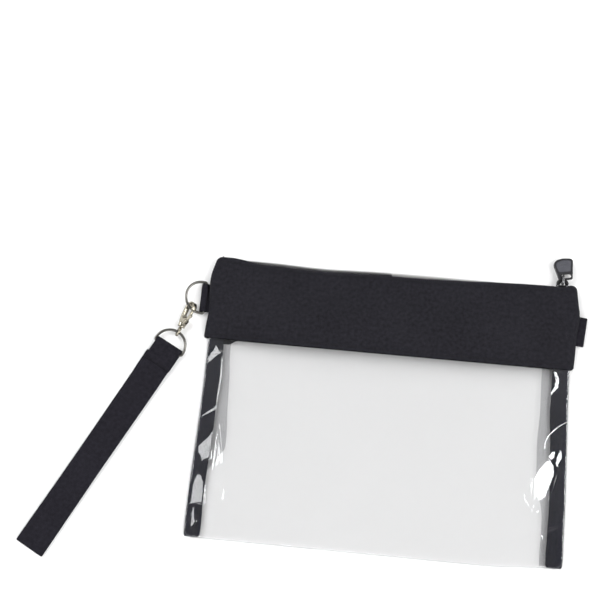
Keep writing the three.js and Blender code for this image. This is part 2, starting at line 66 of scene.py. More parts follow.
def joint_place(name):
    return np.array(joints[name]["pos_m"]) / MM


def joint_axis(name):
    axis = np.array(joints[name]["axis"], float)
    return axis / np.linalg.norm(axis)


def node_box(name):
    low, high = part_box(name)
    return np.array(low) / MM, np.array(high) / MM


# ------------------------------------------------------------------ driving dimensions

band_low, band_high = node_box("front_band")
HALF_WIDTH = band_high[0]
BAND_TOP = band_high[1]
HEM = band_low[1]
CLEAR_TOP = node_box("clear_front_panel")[1][1]
BOTTOM = node_box("clear_back_panel")[0][1]
SIDE_HEIGHT = 4.6  # the front wall's height at the side seams
SWELL = 7.9  # how much higher the middle of the front stands
RIDGE_RISE = 3.6  # how much higher the zip edge stands than the seams
RIDGE_START = 60.0  # where the front wall starts to rise towards the zip
SLIDER_X, LINK_Y, ZIP_Z = joint_place("pull_link_swing")
ZIP_HALF = node_box("back_zip_tape")[1][0]
tab_low, tab_high = node_box("left_side_tab")
TAB_WIDTH = tab_high[1] - tab_low[1]

SEAM_HEIGHT = 2.3  # where front and back meet along the side seams
SEAM_RISE = 2.4  # and how much higher they meet at the zip
CLEAR_CORNER = 6.0  # the corners' radii
BAND_CORNER = 3.6
HEM_CORNER = 2.2

PVC_THICKNESS = 0.35
CLOTH_THICKNESS = 0.9
WEBBING_THICKNESS = 0.9
WIRE = 0.95  # radius of the D-rings' wire
SEAM_MARGIN = 0.35  # clear sheet outside the bindings
SEAM_ROLL = 1.4  # how far the front's clear sheet takes to turn into a seam


def smoothstep(value, low, high):
    t = np.clip((value - low) / (high - low), 0, 1)
    return t * t * (3 - 2 * t)


def unit(v):
    v = np.array(v, float)
    return v / np.linalg.norm(v)


# ------------------------------------------------------------------ mesh making


def passed_lengths(line):
    """The length passed at each point of a line."""
    return np.concatenate([[0], np.cumsum(np.linalg.norm(np.diff(line, axis=0), axis=1))])


def add_object(name, data):
    piece = bpy.data.objects.new(name, data)
    bpy.context.scene.collection.objects.link(piece)
    return piece


def mesh_from(name, work):
    """A mesh from an edit mesh, which is freed."""
    mesh = bpy.data.meshes.new(name)
    work.to_mesh(mesh)
    work.free()
    return mesh


def make_piece(name, points, faces, uv=None):
    """A smooth mesh object from points in millimetres. uv has one (u, v) in millimetres for each point."""
    mesh = bpy.data.meshes.new(name)
    mesh.from_pydata((np.asarray(points, float) * MM).tolist(), [], faces)
    if uv is not None:
        layer = mesh.uv_layers.new(name="thread")
        index = np.zeros(len(mesh.loops), np.int32)
        mesh.loops.foreach_get("vertex_index", index)
        layer.data.foreach_set("uv", (np.asarray(uv, float)[index] * MM).astype(np.float32).ravel())
    mesh.polygons.foreach_set("use_smooth", [True] * len(mesh.polygons))
    mesh.update()
    return add_object(name, mesh)


def grid_normals(grid):
    """Unit normals of a (rows, columns, 3) grid of points."""
    along_rows = np.gradient(grid, axis=0)
    along_columns = np.gradient(grid, axis=1)
    normal = np.cross(along_columns, along_rows)
    return normal / np.maximum(np.linalg.norm(normal, axis=2, keepdims=True), 1e-9)


def shell(name, grid, thickness, uv=None, flip=False, normal=None):
    """A closed thin wall: the grid is its outer face, and its inner face lies `thickness` behind."""
    rows, columns = grid.shape[:2]
    outward = grid_normals(grid) if normal is None else normal
    if flip:
        outward = -outward
    inner = grid - outward * thickness
    points = np.concatenate([grid.reshape(-1, 3), inner.reshape(-1, 3)])
    count = rows * columns
    faces = []
    for r in range(rows - 1):
        for c in range(columns - 1):
            a = r * columns + c
            quad = (a, a + 1, a + columns + 1, a + columns)
            back = tuple(i + count for i in quad)
            faces.append(quad[::-1] if flip else quad)
            faces.append(back if flip else back[::-1])
    first_rim = len(faces)
    rim = list(range(columns))
    rim += [r * columns + columns - 1 for r in range(1, rows)]
    rim += [(rows - 1) * columns + c for c in range(columns - 2, -1, -1)]
    rim += [r * columns for r in range(rows - 2, 0, -1)]
    for a, b in zip(rim, rim[1:] + rim[:1]):
        quad = (b, a, a + count, b + count)
        faces.append(quad[::-1] if flip else quad)
    if uv is None:
        uv = grid[..., :2]
    piece = make_piece(name, points, faces, np.concatenate([uv.reshape(-1, 2)] * 2))
    keep_normals(piece.data, outward.reshape(-1, 3), first_rim)
    return piece


def keep_normals(mesh, outward, first_rim):
    """Shades a shell's two faces by the whole sheet's normals, and its rim flat."""
    index = np.zeros(len(mesh.loops), np.int32)
    mesh.loops.foreach_get("vertex_index", index)
    normals = np.concatenate([outward, -outward])[index]
    flat = np.zeros(len(mesh.polygons) * 3, np.float32)
    mesh.polygons.foreach_get("normal", flat)
    rim = np.repeat(flat.reshape(-1, 3)[first_rim:], 4, axis=0)
    normals[4 * first_rim :] = rim
    mesh.normals_split_custom_set(normals.tolist())


def tube(name, rings, closed=False, uv=None):
    """A surface through rings of points. Its ends are capped, or joined when it is closed."""
    steps, around = rings.shape[:2]
    faces = []
    for i in range(steps if closed else steps - 1):
        j = (i + 1) % steps
        for k in range(around):
            m = (k + 1) % around
            faces.append((i * around + k, i * around + m, j * around + m, j * around + k))
    if not closed:
        faces.append(tuple(range(around))[::-1])
        faces.append(tuple((steps - 1) * around + k for k in range(around)))
    piece = make_piece(name, rings.reshape(-1, 3), faces, uv)
    fix_normals(piece)
    return piece


def sweep(name, path, section, closed=False, up=(0, 0, 1), keep_up=False):
    """A section of (side, height) points swept along a path, with `up` as its height direction."""
    path = np.asarray(path, float)
    section = np.asarray(section, float)
    if closed:
        tangent = np.roll(path, -1, 0) - np.roll(path, 1, 0)
    else:
        tangent = np.gradient(path, axis=0)
    tangent /= np.linalg.norm(tangent, axis=1, keepdims=True)
    up = np.broadcast_to(np.asarray(up, float), path.shape)
    side = np.cross(tangent, up)
    side /= np.linalg.norm(side, axis=1, keepdims=True)
    height = up if keep_up else np.cross(side, tangent)
    rings = (
        path[:, None, :]
        + section[None, :, :1] * side[:, None, :]
        + section[None, :, 1:] * height[:, None, :]
    )
    length = passed_lengths(path)
    girth = passed_lengths(section)
    uv = np.stack(np.broadcast_arrays(girth[None, :], length[:, None]), axis=2).reshape(-1, 2)
    return tube(name, rings, closed, uv)


def lathe(name, profile, sides):
    """A solid turned about Z from (radius, height) points that start and end on the axis."""
    angles = np.arange(sides) * 2 * math.pi / sides
    inner = profile[1:-1]
    points = [(0, 0, profile[0][1])]
    for radius, height in inner:
        points += [(radius * math.cos(a), radius * math.sin(a), height) for a in angles]
    points.append((0, 0, profile[-1][1]))
    last = len(points) - 1
    faces = []
    for k in range(sides):
        m = (k + 1) % sides
        faces.append((0, 1 + m, 1 + k))
        for i in range(len(inner) - 1):
            a, b = 1 + i * sides, 1 + (i + 1) * sides
            faces.append((a + k, a + m, b + m, b + k))
        top = 1 + (len(inner) - 1) * sides
        faces.append((last, top + k, top + m))
    piece = make_piece(name, points, faces)
    fix_normals(piece)
    return sharpen(piece, 40)


def circle(radius, sides=16):
    angles = np.arange(sides) * 2 * math.pi / sides
    return [(radius * math.cos(a), radius * math.sin(a)) for a in angles]


def flat_section(width, thickness, rounding=0.35, steps=12):
    """A webbing's cross-section: flat faces with soft selvedges, as (side, height) points."""
    half_width, half_thick = width / 2, thickness / 2
    across = np.linspace(-half_width + rounding, half_width - rounding, steps)
    lower = [(x, -half_thick) for x in across]
    upper = [(x, half_thick) for x in across[::-1]]
    right = [(half_width, -half_thick * 0.45), (half_width, half_thick * 0.45)]
    left = [(-half_width, half_thick * 0.45), (-half_width, -half_thick * 0.45)]
    return lower + right + upper + left


def fix_normals(piece):
    work = bmesh.new()
    work.from_mesh(piece.data)
    bmesh.ops.recalc_face_normals(work, faces=work.faces)
    work.to_mesh(piece.data)
    work.free()


def joined(name, pieces):
    """One piece made of several separate meshes."""
    work = bmesh.new()
    for piece in pieces:
        work.from_mesh(piece.data)
    mesh = mesh_from(name, work)
    for piece in pieces:
        old = piece.data
        bpy.data.objects.remove(piece)
        bpy.data.meshes.remove(old)
    return add_object(name, mesh)


def apply_modifiers(piece):
    graph = bpy.context.evaluated_depsgraph_get()
    mesh = bpy.data.meshes.new_from_object(piece.evaluated_get(graph))
    piece.modifiers.clear()
    piece.data = mesh
    return piece


def add_cuts(piece, cutters):
    """Boolean cuts, left as modifiers."""
    for cutter in cutters:
        boolean = piece.modifiers.new("cut", "BOOLEAN")
        boolean.object = cutter
        boolean.operation = "DIFFERENCE"
        boolean.solver = "EXACT"


def cut_away(piece, cutters):
    """Cuts a piece with cutters, which are used up."""
    add_cuts(piece, cutters)
    apply_modifiers(piece)
    for cutter in cutters:
        bpy.data.objects.remove(cutter)


def rounded_plate(name, outline, thickness, bevel, holes=(), segments=3):
    """A plate from an X-Y outline with round edges. Holes are cut with boolean cutters."""
    work = bmesh.new()
    low = [work.verts.new((x * MM, y * MM, -thickness / 2 * MM)) for x, y in outline]
    face = work.faces.new(low)
    lifted = bmesh.ops.extrude_face_region(work, geom=[face])
    moved = [g for g in lifted["geom"] if isinstance(g, bmesh.types.BMVert)]
    bmesh.ops.translate(work, verts=moved, vec=(0, 0, thickness * MM))
    bmesh.ops.recalc_face_normals(work, faces=work.faces)
    piece = add_object(name, mesh_from(name, work))
    cutters = [rounded_plate(name + "_cutter", hole, thickness * 3, 0) for hole in holes]
    add_cuts(piece, cutters)
    if bevel:
        edge = piece.modifiers.new("edge", "BEVEL")
        edge.width = bevel * MM
        edge.segments = segments
        edge.limit_method = "ANGLE"
        edge.angle_limit = math.radians(40)
        edge.harden_normals = False
    if cutters or bevel:
        apply_modifiers(piece)
    for cutter in cutters:
        bpy.data.objects.remove(cutter)
    piece.data.polygons.foreach_set("use_smooth", [True] * len(piece.data.polygons))
    return sharpen(piece, 35)


def sharpen(piece, degrees):
    """Marks edges sharper than an angle, so that flat faces stay flat under smooth shading."""
    work = bmesh.new()
    work.from_mesh(piece.data)
    limit = math.radians(degrees)
    for edge in work.edges:
        edge.smooth = len(edge.link_faces) != 2 or edge.calc_face_angle(0) < limit
    work.to_mesh(piece.data)
    work.free()
    return piece


def arc_points(centre, radius, start, end, steps):
    """Points on an arc in the plane, from one angle to another in degrees."""
    angles = np.radians(np.linspace(start, end, steps))
    return [(centre[0] + radius * math.cos(a), centre[1] + radius * math.sin(a)) for a in angles]


def curve_points(start, control, end, steps):
    """Points on a quadratic curve, without its first point."""
    t = np.linspace(0, 1, steps + 1)[1:, None]
    start, control, end = (np.array(p, float) for p in (start, control, end))
    line = (1 - t) ** 2 * start + 2 * t * (1 - t) * control + t**2 * end
    return [tuple(p) for p in line]


def bend(points, control, end, steps):
    """Lengthens a line of points by a quadratic curve from its last one."""
    points += curve_points(points[-1], control, end, steps)


def place(piece, origin, x_axis, y_axis):
    """Moves a piece drawn at the origin to a frame given by its origin and two directions."""
    x_axis, y_axis = unit(x_axis), unit(y_axis)
    z_axis = np.cross(x_axis, y_axis)
    turn = Matrix([list(row) for row in np.array([x_axis, y_axis, z_axis]).T]).to_4x4()
    turn.translation = Vector(np.asarray(origin, float) * MM)
    piece.data.transform(turn)
    piece.data.update()
    return piece


# ------------------------------------------------------------------ materials


class Nodes:
    """A short way to write a node tree."""

    def __init__(self, name):
        self.material = bpy.data.materials.new(name)
        self.material.use_nodes = True
        self.tree = self.material.node_tree
        self.tree.nodes.clear()
        self.output = self.tree.nodes.new("ShaderNodeOutputMaterial")

    def add(self, kind, **settings):
        node = self.tree.nodes.new(kind)
        for key, value in settings.items():
            setattr(node, key, value)
        return node

    def feed(self, socket, value):
        if isinstance(value, bpy.types.NodeSocket):
            self.tree.links.new(value, socket)
        elif value is not None:
            socket.default_value = value

    def math(self, operation, a, b=None, c=None):
        node = self.add("ShaderNodeMath", operation=operation)
        for socket, value in zip(node.inputs, (a, b, c)):
            self.feed(socket, value)
        return node.outputs[0]

    def noise(self, vector, scale, detail=2.0):
        node = self.add("ShaderNodeTexNoise")
        self.feed(node.inputs["Vector"], vector)
        node.inputs["Scale"].default_value = scale
        node.inputs["Detail"].default_value = detail
        return node.outputs["Fac"]

    def ramp(self, factor, low, high):
        node = self.add("ShaderNodeMapRange")
        self.feed(node.inputs["Value"], factor)
        node.inputs["To Min"].default_value = low
        node.inputs["To Max"].default_value = high
        return node.outputs["Result"]

    def mix_colour(self, factor, a, b):
        node = self.add("ShaderNodeMix", data_type="RGBA")
        self.feed(node.inputs[0], factor)
        self.feed(node.inputs[6], a)
        self.feed(node.inputs[7], b)
        return node.outputs[2]

    def bump(self, height, distance, strength=1.0):
        node = self.add("ShaderNodeBump")
        self.feed(node.inputs["Height"], height)
        node.inputs["Distance"].default_value = distance * MM
        node.inputs["Strength"].default_value = strength
        return node.outputs["Normal"]

    def surface(self, shader):
        self.tree.links.new(shader, self.output.inputs["Surface"])


def colour(r, g, b):
    return (r, g, b, 1.0)


def woven(name, warp_pitch, weft_pitch, dark, light, depth=0.12, sheen=0.03):
    """Plain-woven cloth. The pitches are threads' widths in millimetres, along the mesh's thread map."""
    n = Nodes(name)
    thread = n.add("ShaderNodeUVMap", uv_map="thread").outputs["UV"]
    parts = n.add("ShaderNodeSeparateXYZ")
    wobble = n.noise(thread, 900.0, 2.0)
    n.feed(parts.inputs[0], thread)
    jitter = n.math("MULTIPLY", n.math("SUBTRACT", wobble, 0.5), 0.35)
    u = n.math("ADD", n.math("DIVIDE", parts.outputs["X"], warp_pitch * MM), jitter)
    v = n.math("ADD", n.math("DIVIDE", parts.outputs["Y"], weft_pitch * MM), jitter)
    warp = n.math("ABSOLUTE", n.math("SINE", n.math("MULTIPLY", u, math.pi)))
    weft = n.math("ABSOLUTE", n.math("SINE", n.math("MULTIPLY", v, math.pi)))
    parity = n.math("ADD", n.math("FLOOR", u), n.math("FLOOR", v))
    over = n.math("FLOORED_MODULO", parity, 2.0)
    warp_top = n.math("MULTIPLY", warp, n.math("MULTIPLY_ADD", weft, 0.4, 0.6))
    weft_top = n.math("MULTIPLY", weft, n.math("MULTIPLY_ADD", warp, 0.4, 0.6))
    height = n.math(
        "ADD",
        n.math("MULTIPLY", over, warp_top),
        n.math("MULTIPLY", n.math("SUBTRACT", 1.0, over), weft_top),
    )
    patches = n.noise(thread, 26.0, 3.0)
    slubs = n.noise(thread, 420.0, 3.0)
    fuzz = n.noise(thread, 2600.0, 2.0)
    # patches, slubs and fuzz vary the cloth's tone at random; the weave's height term paints shade into the
    # gaps between threads
    tone_and_thread_gap_shade = n.math("MULTIPLY_ADD", patches, 0.4, n.math("MULTIPLY", height, 0.35))
    tone_and_thread_gap_shade = n.math("MULTIPLY_ADD", n.math("SUBTRACT", slubs, 0.5), 0.9, tone_and_thread_gap_shade)
    tone_and_thread_gap_shade = n.math("MULTIPLY_ADD", fuzz, 0.25, tone_and_thread_gap_shade)
    base = n.mix_colour(tone_and_thread_gap_shade, dark, light)
    shader = n.add("ShaderNodeBsdfPrincipled")
    n.feed(shader.inputs["Base Color"], base)
    n.feed(shader.inputs["Roughness"], n.ramp(patches, 0.74, 0.86))
    shader.inputs["Specular IOR Level"].default_value = 0.03
    shader.inputs["Sheen Weight"].default_value = sheen
    shader.inputs["Sheen Roughness"].default_value = 0.5
    relief = n.math("MULTIPLY_ADD", fuzz, 0.3, height)
    n.feed(shader.inputs["Normal"], n.bump(relief, depth))
    n.surface(shader.outputs[0])
    return n.material


def clear_sheet(name, haze, tint_with_painted_shadow):
    """Clear PVC: see-through, with a mirror that grows towards grazing angles and a thin haze. The
    see-through tint is darker than the film's own: it paints in the shade that the sheets' switched-off
    shadows would throw.
    """
    n = Nodes(name)
    place_of = n.add("ShaderNodeTexCoord").outputs["Object"]
    facing = n.add("ShaderNodeLayerWeight")
    facing.inputs["Blend"].default_value = 0.5
    ripple = n.noise(place_of, 55.0, 2.0)
    grain = n.noise(place_of, 420.0, 3.0)
    normal = n.bump(n.math("MULTIPLY_ADD", grain, 0.04, ripple), 0.25, 0.8)
    n.feed(facing.inputs["Normal"], normal)
    grazing = n.math("POWER", facing.outputs["Facing"], 4.0)
    mirror = n.math("MULTIPLY_ADD", grazing, 0.5, 0.035)
    smudge = n.ramp(n.noise(place_of, 30.0, 4.0), 0.0, haze)
    share = n.math("ADD", mirror, smudge)
    see = n.add("ShaderNodeBsdfTransparent")
    # the tint and its darker edge copy paint in the shade of the sheet's switched-off shadow, on top of the
    # film's own faint tint
    edge_tint_with_painted_shadow = colour(*(0.6 * channel for channel in tint_with_painted_shadow[:3]))
    slant = n.math("POWER", facing.outputs["Facing"], 2.5)
    n.feed(see.inputs["Color"], n.mix_colour(slant, tint_with_painted_shadow, edge_tint_with_painted_shadow))
    gloss = n.add("ShaderNodeBsdfPrincipled")
    gloss.inputs["Base Color"].default_value = colour(0.95, 0.96, 0.97)
    gloss.inputs["Metallic"].default_value = 1.0
    n.feed(gloss.inputs["Roughness"], n.ramp(grain, 0.03, 0.09))
    n.feed(gloss.inputs["Normal"], normal)
    mix = n.add("ShaderNodeMixShader")
    n.feed(mix.inputs["Fac"], share)
    n.tree.links.new(see.outputs[0], mix.inputs[1])
    n.tree.links.new(gloss.outputs[0], mix.inputs[2])
    n.surface(mix.outputs[0])
    return n.material


def metal(name, base, worn, roughness):
    """Plated or lacquered metal with faint brushing, soft stains and wear."""
    n = Nodes(name)
    place_of = n.add("ShaderNodeTexCoord").outputs["Object"]
    stain = n.noise(place_of, 260.0, 4.0)
    fine = n.noise(place_of, 4200.0, 2.0)
    shader = n.add("ShaderNodeBsdfPrincipled")
    n.feed(shader.inputs["Base Color"], n.mix_colour(n.ramp(stain, -0.3, 1.2), base, worn))
    shader.inputs["Metallic"].default_value = 1.0
    n.feed(shader.inputs["Roughness"], n.ramp(stain, roughness * 0.7, roughness * 1.5))
    n.feed(shader.inputs["Normal"], n.bump(fine, 0.015, 0.5))
    n.surface(shader.outputs[0])
    return n.material


def moulded(name, base, light, roughness, gloss=0.5):
    """Moulded plastic with a fine spark-eroded grain and slightly paler patches."""
    n = Nodes(name)
    place_of = n.add("ShaderNodeTexCoord").outputs["Object"]
    grain = n.noise(place_of, 3000.0, 3.0)
    patch = n.noise(place_of, 150.0, 3.0)
    shader = n.add("ShaderNodeBsdfPrincipled")
    n.feed(shader.inputs["Base Color"], n.mix_colour(patch, base, light))
    shader.inputs["Specular IOR Level"].default_value = gloss
    n.feed(shader.inputs["Roughness"], n.ramp(patch, roughness - 0.08, roughness + 0.08))
    n.feed(shader.inputs["Normal"], n.bump(grain, 0.03, 0.6))
    n.surface(shader.outputs[0])
    return n.material


band_cloth = woven("band_cloth", 0.42, 0.42, colour(0.0056, 0.0054, 0.007), colour(0.0256, 0.025, 0.0316))
binding_cloth = woven("binding_tape", 0.5, 0.35, colour(0.007, 0.007, 0.011), colour(0.026, 0.026, 0.038))
webbing_cloth = woven(
    "strap_webbing", 0.9, 0.55, colour(0.0052, 0.0048, 0.0066), colour(0.0245, 0.0232, 0.031), depth=0.2
)
zip_cloth = woven(
    "zip_tape", 0.5, 0.4, colour(0.002, 0.002, 0.002), colour(0.007, 0.007, 0.008), sheen=0.0
)
# the clear sheets' tints are darker than the film's own: they paint in the shade of the sheets'
# switched-off shadows
front_pvc = clear_sheet("clear_pvc", 0.012, colour(0.943, 0.943, 0.944))
# the allowance strips are a doubled sheet, and their darker tint also paints shade beside the bindings
folded_pvc_with_painted_shade = clear_sheet("clear_pvc_allowance_painted_shade", 0.03, colour(0.88, 0.88, 0.885))
pale_gold = metal("pale_gold_plating", colour(0.44, 0.415, 0.345), colour(0.23, 0.21, 0.165), 0.2)
ring_plating = metal("ring_plating", colour(0.215, 0.21, 0.195), colour(0.1, 0.098, 0.09), 0.28)
black_lacquer = metal("black_lacquer", colour(0.07, 0.07, 0.074), colour(0.16, 0.16, 0.165), 0.14)
coil_plastic = moulded(
    "coil_nylon", colour(0.003, 0.003, 0.003), colour(0.009, 0.009, 0.01), 0.6, gloss=0.1
)
puller_plastic = moulded("puller_moulding", colour(0.008, 0.008, 0.01), colour(0.02, 0.02, 0.023), 0.42)
field_plastic = moulded("puller_field", colour(0.045, 0.046, 0.056), colour(0.075, 0.076, 0.09), 0.5)
thread_black = moulded(
    "sewing_thread", colour(0.008, 0.008, 0.0095), colour(0.022, 0.022, 0.025), 0.7, gloss=0.05
)


def dress(piece, material):
    piece.data.materials.clear()
    piece.data.materials.append(material)
    return piece


# ------------------------------------------------------------------ the pouch's form


def ridge(y):
    return smoothstep(y, RIDGE_START, BAND_TOP)


def front_height(x, y):
    """Height of the front wall's clear sheet, before the edges roll down to the seams."""
    across = 1 - np.clip(np.abs(x / HALF_WIDTH), 0, 1) ** 4
    along = 1 - np.clip(np.abs(y / BAND_TOP), 0, 1) ** 3.5
    swell = SWELL * across * along * (1 - ridge(y))
    return SIDE_HEIGHT + swell + RIDGE_RISE * ridge(y)


def seam_height(y):
    """Height at which front and back meet along the side seams."""
    return SEAM_HEIGHT + SEAM_RISE * ridge(y)


def binding_outer(side, y):
    """The outer edge of a side seam's binding, bowed a little by the stitching."""
    if side < 0:
        return -122.9 - 1.7 * smoothstep(-y, -10, 80)
    return 123.7 + 1.4 * smoothstep(-y, -35, 60)


def left_edge(y):
    return binding_outer(-1, y) - SEAM_MARGIN


def right_edge(y):
    return binding_outer(1, y) + SEAM_MARGIN


def bottom_edge(x):
    return BOTTOM - 0.4 + 2.5 * smoothstep(x, 70, 122)


def roll(distance, radius):
    """0 at a rolled edge, 1 once the distance from it passes the radius."""
    t = np.clip(1 - distance / radius, 0, 1)
    return np.sqrt(np.maximum(1 - t**2, 0))


def corner_inset(along, radius):
    """How far a round corner draws an edge in, at a distance along it from the corner's start."""
    into = np.clip(radius - along, 0, radius)
    return radius - np.sqrt(np.maximum(radius**2 - into**2, 0))


def edge_distance(to_side, to_end, radius):
    """Distance to the nearer of two edges that meet in a round corner."""
    corner_gap = radius - np.hypot(np.maximum(radius - to_side, 0), np.maximum(radius - to_end, 0))
    inside = (to_side < radius) & (to_end < radius)
    return np.maximum(np.where(inside, corner_gap, np.minimum(to_side, to_end)), 0)


EDGE_CROWDING = 1.6


def eased(count):
    """Numbers from -1 to 1 that crowd towards both ends."""
    t = np.linspace(-1, 1, count)
    return np.sign(t) * (1 - (1 - np.abs(t)) ** EDGE_CROWDING)


# ------------------------------------------------------------------ creases in the clear sheet

# a crease is its line, its height and its half-width
CREASES = [
    ([(108.4, 40.3), (112, 34.8), (113.9, 30), (113.1, 25.2), (110.3, 21.2), (105, 18)], 0.9, 2.2),
    ([(108.0, 17), (101.5, 8), (101, -12)], 0.5, 2.6),
    ([(123.1, 3.3), (115.3, -2.4), (111, -7.1), (108.6, -12), (108.4, -16.6), (109.8, -21)], 0.36, 0.75),
    ([(116.8, -35), (113.6, -49), (108.6, -57), (103.5, -59.5), (97, -52), (94.5, -38)], 0.55, 1.0),
    ([(94, 36), (99, 16), (97, -6)], 0.4, 2.0),
    ([(-112, 36), (-110, 12), (-112, -20)], 0.35, 1.5),
    ([(-107, 34), (-104, 0), (-107, -34)], 0.35, 3.0),
    ([(-70, 34), (-58, 0), (-48, -30)], 0.3, 7.0),
    ([(40, 36), (52, 6), (58, -22)], 0.35, 7.0),
    ([(-20, -84), (10, -60)], 0.35, 6.0),
    ([(60, -88), (72, -62)], 0.45, 5.0),
    ([(-80, -88), (-66, -58)], 0.45, 5.0),
]
# a dart is a cone-shaped pinch: its tip, its heading and spread in degrees, its length and its height
DARTS = [
    ((-119.5, -78.5), -72, 22, 13.0, 0.9),
    ((124.0, 33.0), 165, 16, 10.0, 0.3),
    ((123.5, -66.0), 200, 12, 11.0, 0.7),
    ((104.0, -62.0), -70, 14, 15.0, 0.8),
    ((-124.0, -18.0), 28, 12, 11.0, 0.5),
]
# a facet is a flat patch between creases: its corners anticlockwise, and its extra slope in x and y
FACETS = [
    ([(-123.8, 21.8), (-118.3, 24.6), (-112.4, 28.2), (-117.1, 31.5)], (0.24, -0.06)),
    ([(-121.8, -36.3), (-120.6, -40.2), (-116.6, -44.8), (-112.3, -43.7), (-112.6, -27.8)], (0.22, -0.06)),
    (
        [(-123.4, -65.2), (-122.6, -74.2), (-113.6, -73.3), (-114.7, -60.2)]
        + [(-117.3, -56.3), (-119.9, -55.3)],
        (0.25, -0.05),
    ),
    ([(-122.7, -84.9), (-119.4, -89.2), (-117.6, -86.0), (-120.1, -78.9)], (0.28, -0.05)),
    ([(112.1, -21.6), (115.6, -22.8), (116.1, -18.9), (113.9, -19.2)], (-0.25, 0.08)),
    ([(116.6, -23.5), (118.2, -26.4), (121.2, -20.8), (119.9, -17.8)], (-0.22, 0.05)),
    (
        [(102.2, -37.2), (103.0, -56.0), (107.3, -57.4), (112.1, -50.6), (114.4, -44), (116.7, -34.3)]
        + [(115.8, -27.6), (111.3, -24.6), (105.8, -30.5)],
        (-0.22, 0.07),
    ),
    ([(-108.0, -31.0), (-109.5, -66.0), (-101.5, -69.0), (-101.0, -60.0)], (0.2, -0.04)),
]
FACET_BLEND = 1.8
PUCKERS = 13  # along each side seam
PUCKERS_START, PUCKERS_SPAN = -88, 124


def line_gap(x, y, line):
    """Distance to a bent line, and how far along it the nearest point is, from 0 to 1."""
    line = np.array(line, float)
    lengths = np.linalg.norm(np.diff(line, axis=0), axis=1)
    passed = passed_lengths(line)
    best = np.full(x.shape, 1e9)
    share = np.zeros(x.shape)
    for start, along, length, before in zip(line, np.diff(line, axis=0), lengths, passed):
        t = ((x - start[0]) * along[0] + (y - start[1]) * along[1]) / length**2
        t = np.clip(t, 0, 1)
        gap = np.hypot(x - start[0] - t * along[0], y - start[1] - t * along[1])
        nearer = gap < best
        best = np.where(nearer, gap, best)
        share = np.where(nearer, (before + t * length) / passed[-1], share)
    return best, share


def crease_height(x, y, line, height, width):
    gap, share = line_gap(x, y, line)
    fade = np.sqrt(np.maximum(np.sin(math.pi * np.clip(share, 0.03, 0.97)), 0))
    return height * fade / (1 + (gap / width) ** 2) ** 1.5


def dart_height(x, y, tip, heading, spread, length, height):
    dx, dy = x - tip[0], y - tip[1]
    reach = np.hypot(dx, dy)
    turn = np.arctan2(dy, dx) - math.radians(heading)
    turn = (turn + math.pi) % (2 * math.pi) - math.pi
    profile = np.maximum(1 - (turn / math.radians(spread)) ** 2, 0) ** 2
    fade = 1 - smoothstep(reach, length, length * 1.7)
    return height * np.minimum(reach / length, 1) * profile * fade


def facet_height(x, y, corners, slope):
    """A flat tilted patch that falls back to nothing just outside its corners."""
    gap = np.full(x.shape, -1e9)
    for (ax, ay), (bx, by) in zip(corners, corners[1:] + corners[:1]):
        length = math.hypot(bx - ax, by - ay)
        gap = np.maximum(gap, ((x - ax) * (by - ay) - (y - ay) * (bx - ax)) / length)
    centre = np.mean(corners, axis=0)
    tilt = (x - centre[0]) * slope[0] + (y - centre[1]) * slope[1]
    return tilt * (1 - smoothstep(gap, 0, FACET_BLEND))


def waves(x, y, seed, count, shortest, longest):
    """Smooth seeded waviness, about -1 to 1."""
    source = np.random.RandomState(seed)
    total = np.zeros_like(x)
    for _ in range(count):
        length = source.uniform(shortest, longest)
        angle = source.uniform(0, math.pi)
        phase = source.uniform(0, 2 * math.pi)
        total += np.sin(2 * math.pi * (x * math.cos(angle) + y * math.sin(angle)) / length + phase)
    return total / math.sqrt(count)


def pucker_height(x, y):
    """Small waves that the side seams' stitching draws into the sheet."""
    source = np.random.RandomState(23)
    total = np.zeros_like(x)
    for side in (-1, 1):
        for i in range(PUCKERS):
            centre = PUCKERS_START + PUCKERS_SPAN * (i + source.uniform(0.1, 0.9)) / PUCKERS
            lift = source.uniform(-0.35, 0.45)
            width = source.uniform(2.2, 4.5)
            slant = source.uniform(-0.5, 0.5)
            reach = source.uniform(7, 15)
            inward = HALF_WIDTH - side * x
            offset = y - centre - slant * inward
            total = total + lift * np.exp(-((offset / width) ** 2)) * np.exp(-inward / reach)
    return total


def sheet_relief(x, y, distance):
    """Creases, darts, puckers at the seams and slow waves of the front's clear sheet."""
    relief = 0.25 * waves(x, y, 11, 9, 34, 90) + pucker_height(x, y)
    for crease in CREASES:
        relief = relief + crease_height(x, y, *crease)
    for dart in DARTS:
        relief = relief + dart_height(x, y, *dart)
    for corners, slope in FACETS:
        relief = relief + facet_height(x, y, corners, slope)
    return relief * roll(distance, 5.0) * (1 - smoothstep(y, HEM - 2.5, HEM + 0.5))


# ------------------------------------------------------------------ clear sheets


def dress_clear(piece, material):
    """Switches off a sheet's cast shadow; the darker tint of its material paints that shade in instead."""
    piece.visible_shadow = False
    return dress(piece, material)


def clear_grid(columns, rows):
    """The clear sheets' plan: x and y on a grid inside the side seams and the bottom fold."""
    s = eased(columns)[None, :]
    t = np.linspace(0, 1, rows)[:, None] ** 1.35
    middle_bottom = BOTTOM + 0.2
    y_line = middle_bottom + (CLEAR_TOP - middle_bottom) * t
    inset = corner_inset(y_line - middle_bottom, CLEAR_CORNER)
    left = left_edge(y_line) + inset
    right = right_edge(y_line) - inset
    x = (left + right) / 2 + s * (right - left) / 2
    y = y_line + (1 - t) * (bottom_edge(x) - middle_bottom)
    to_side = np.minimum(x - left_edge(y_line), right_edge(y_line) - x)
    to_bottom = y - bottom_edge(x)
    return x, y, edge_distance(to_side, to_bottom, CLEAR_CORNER)


def front_clear_grid():
    x, y, distance = clear_grid(341, 221)
    high = front_height(x, y) + sheet_relief(x, y, distance)
    edge = seam_height(y)
    z = edge + (high - edge) * roll(distance, SEAM_ROLL)
    return np.stack([x, y, z], axis=2)


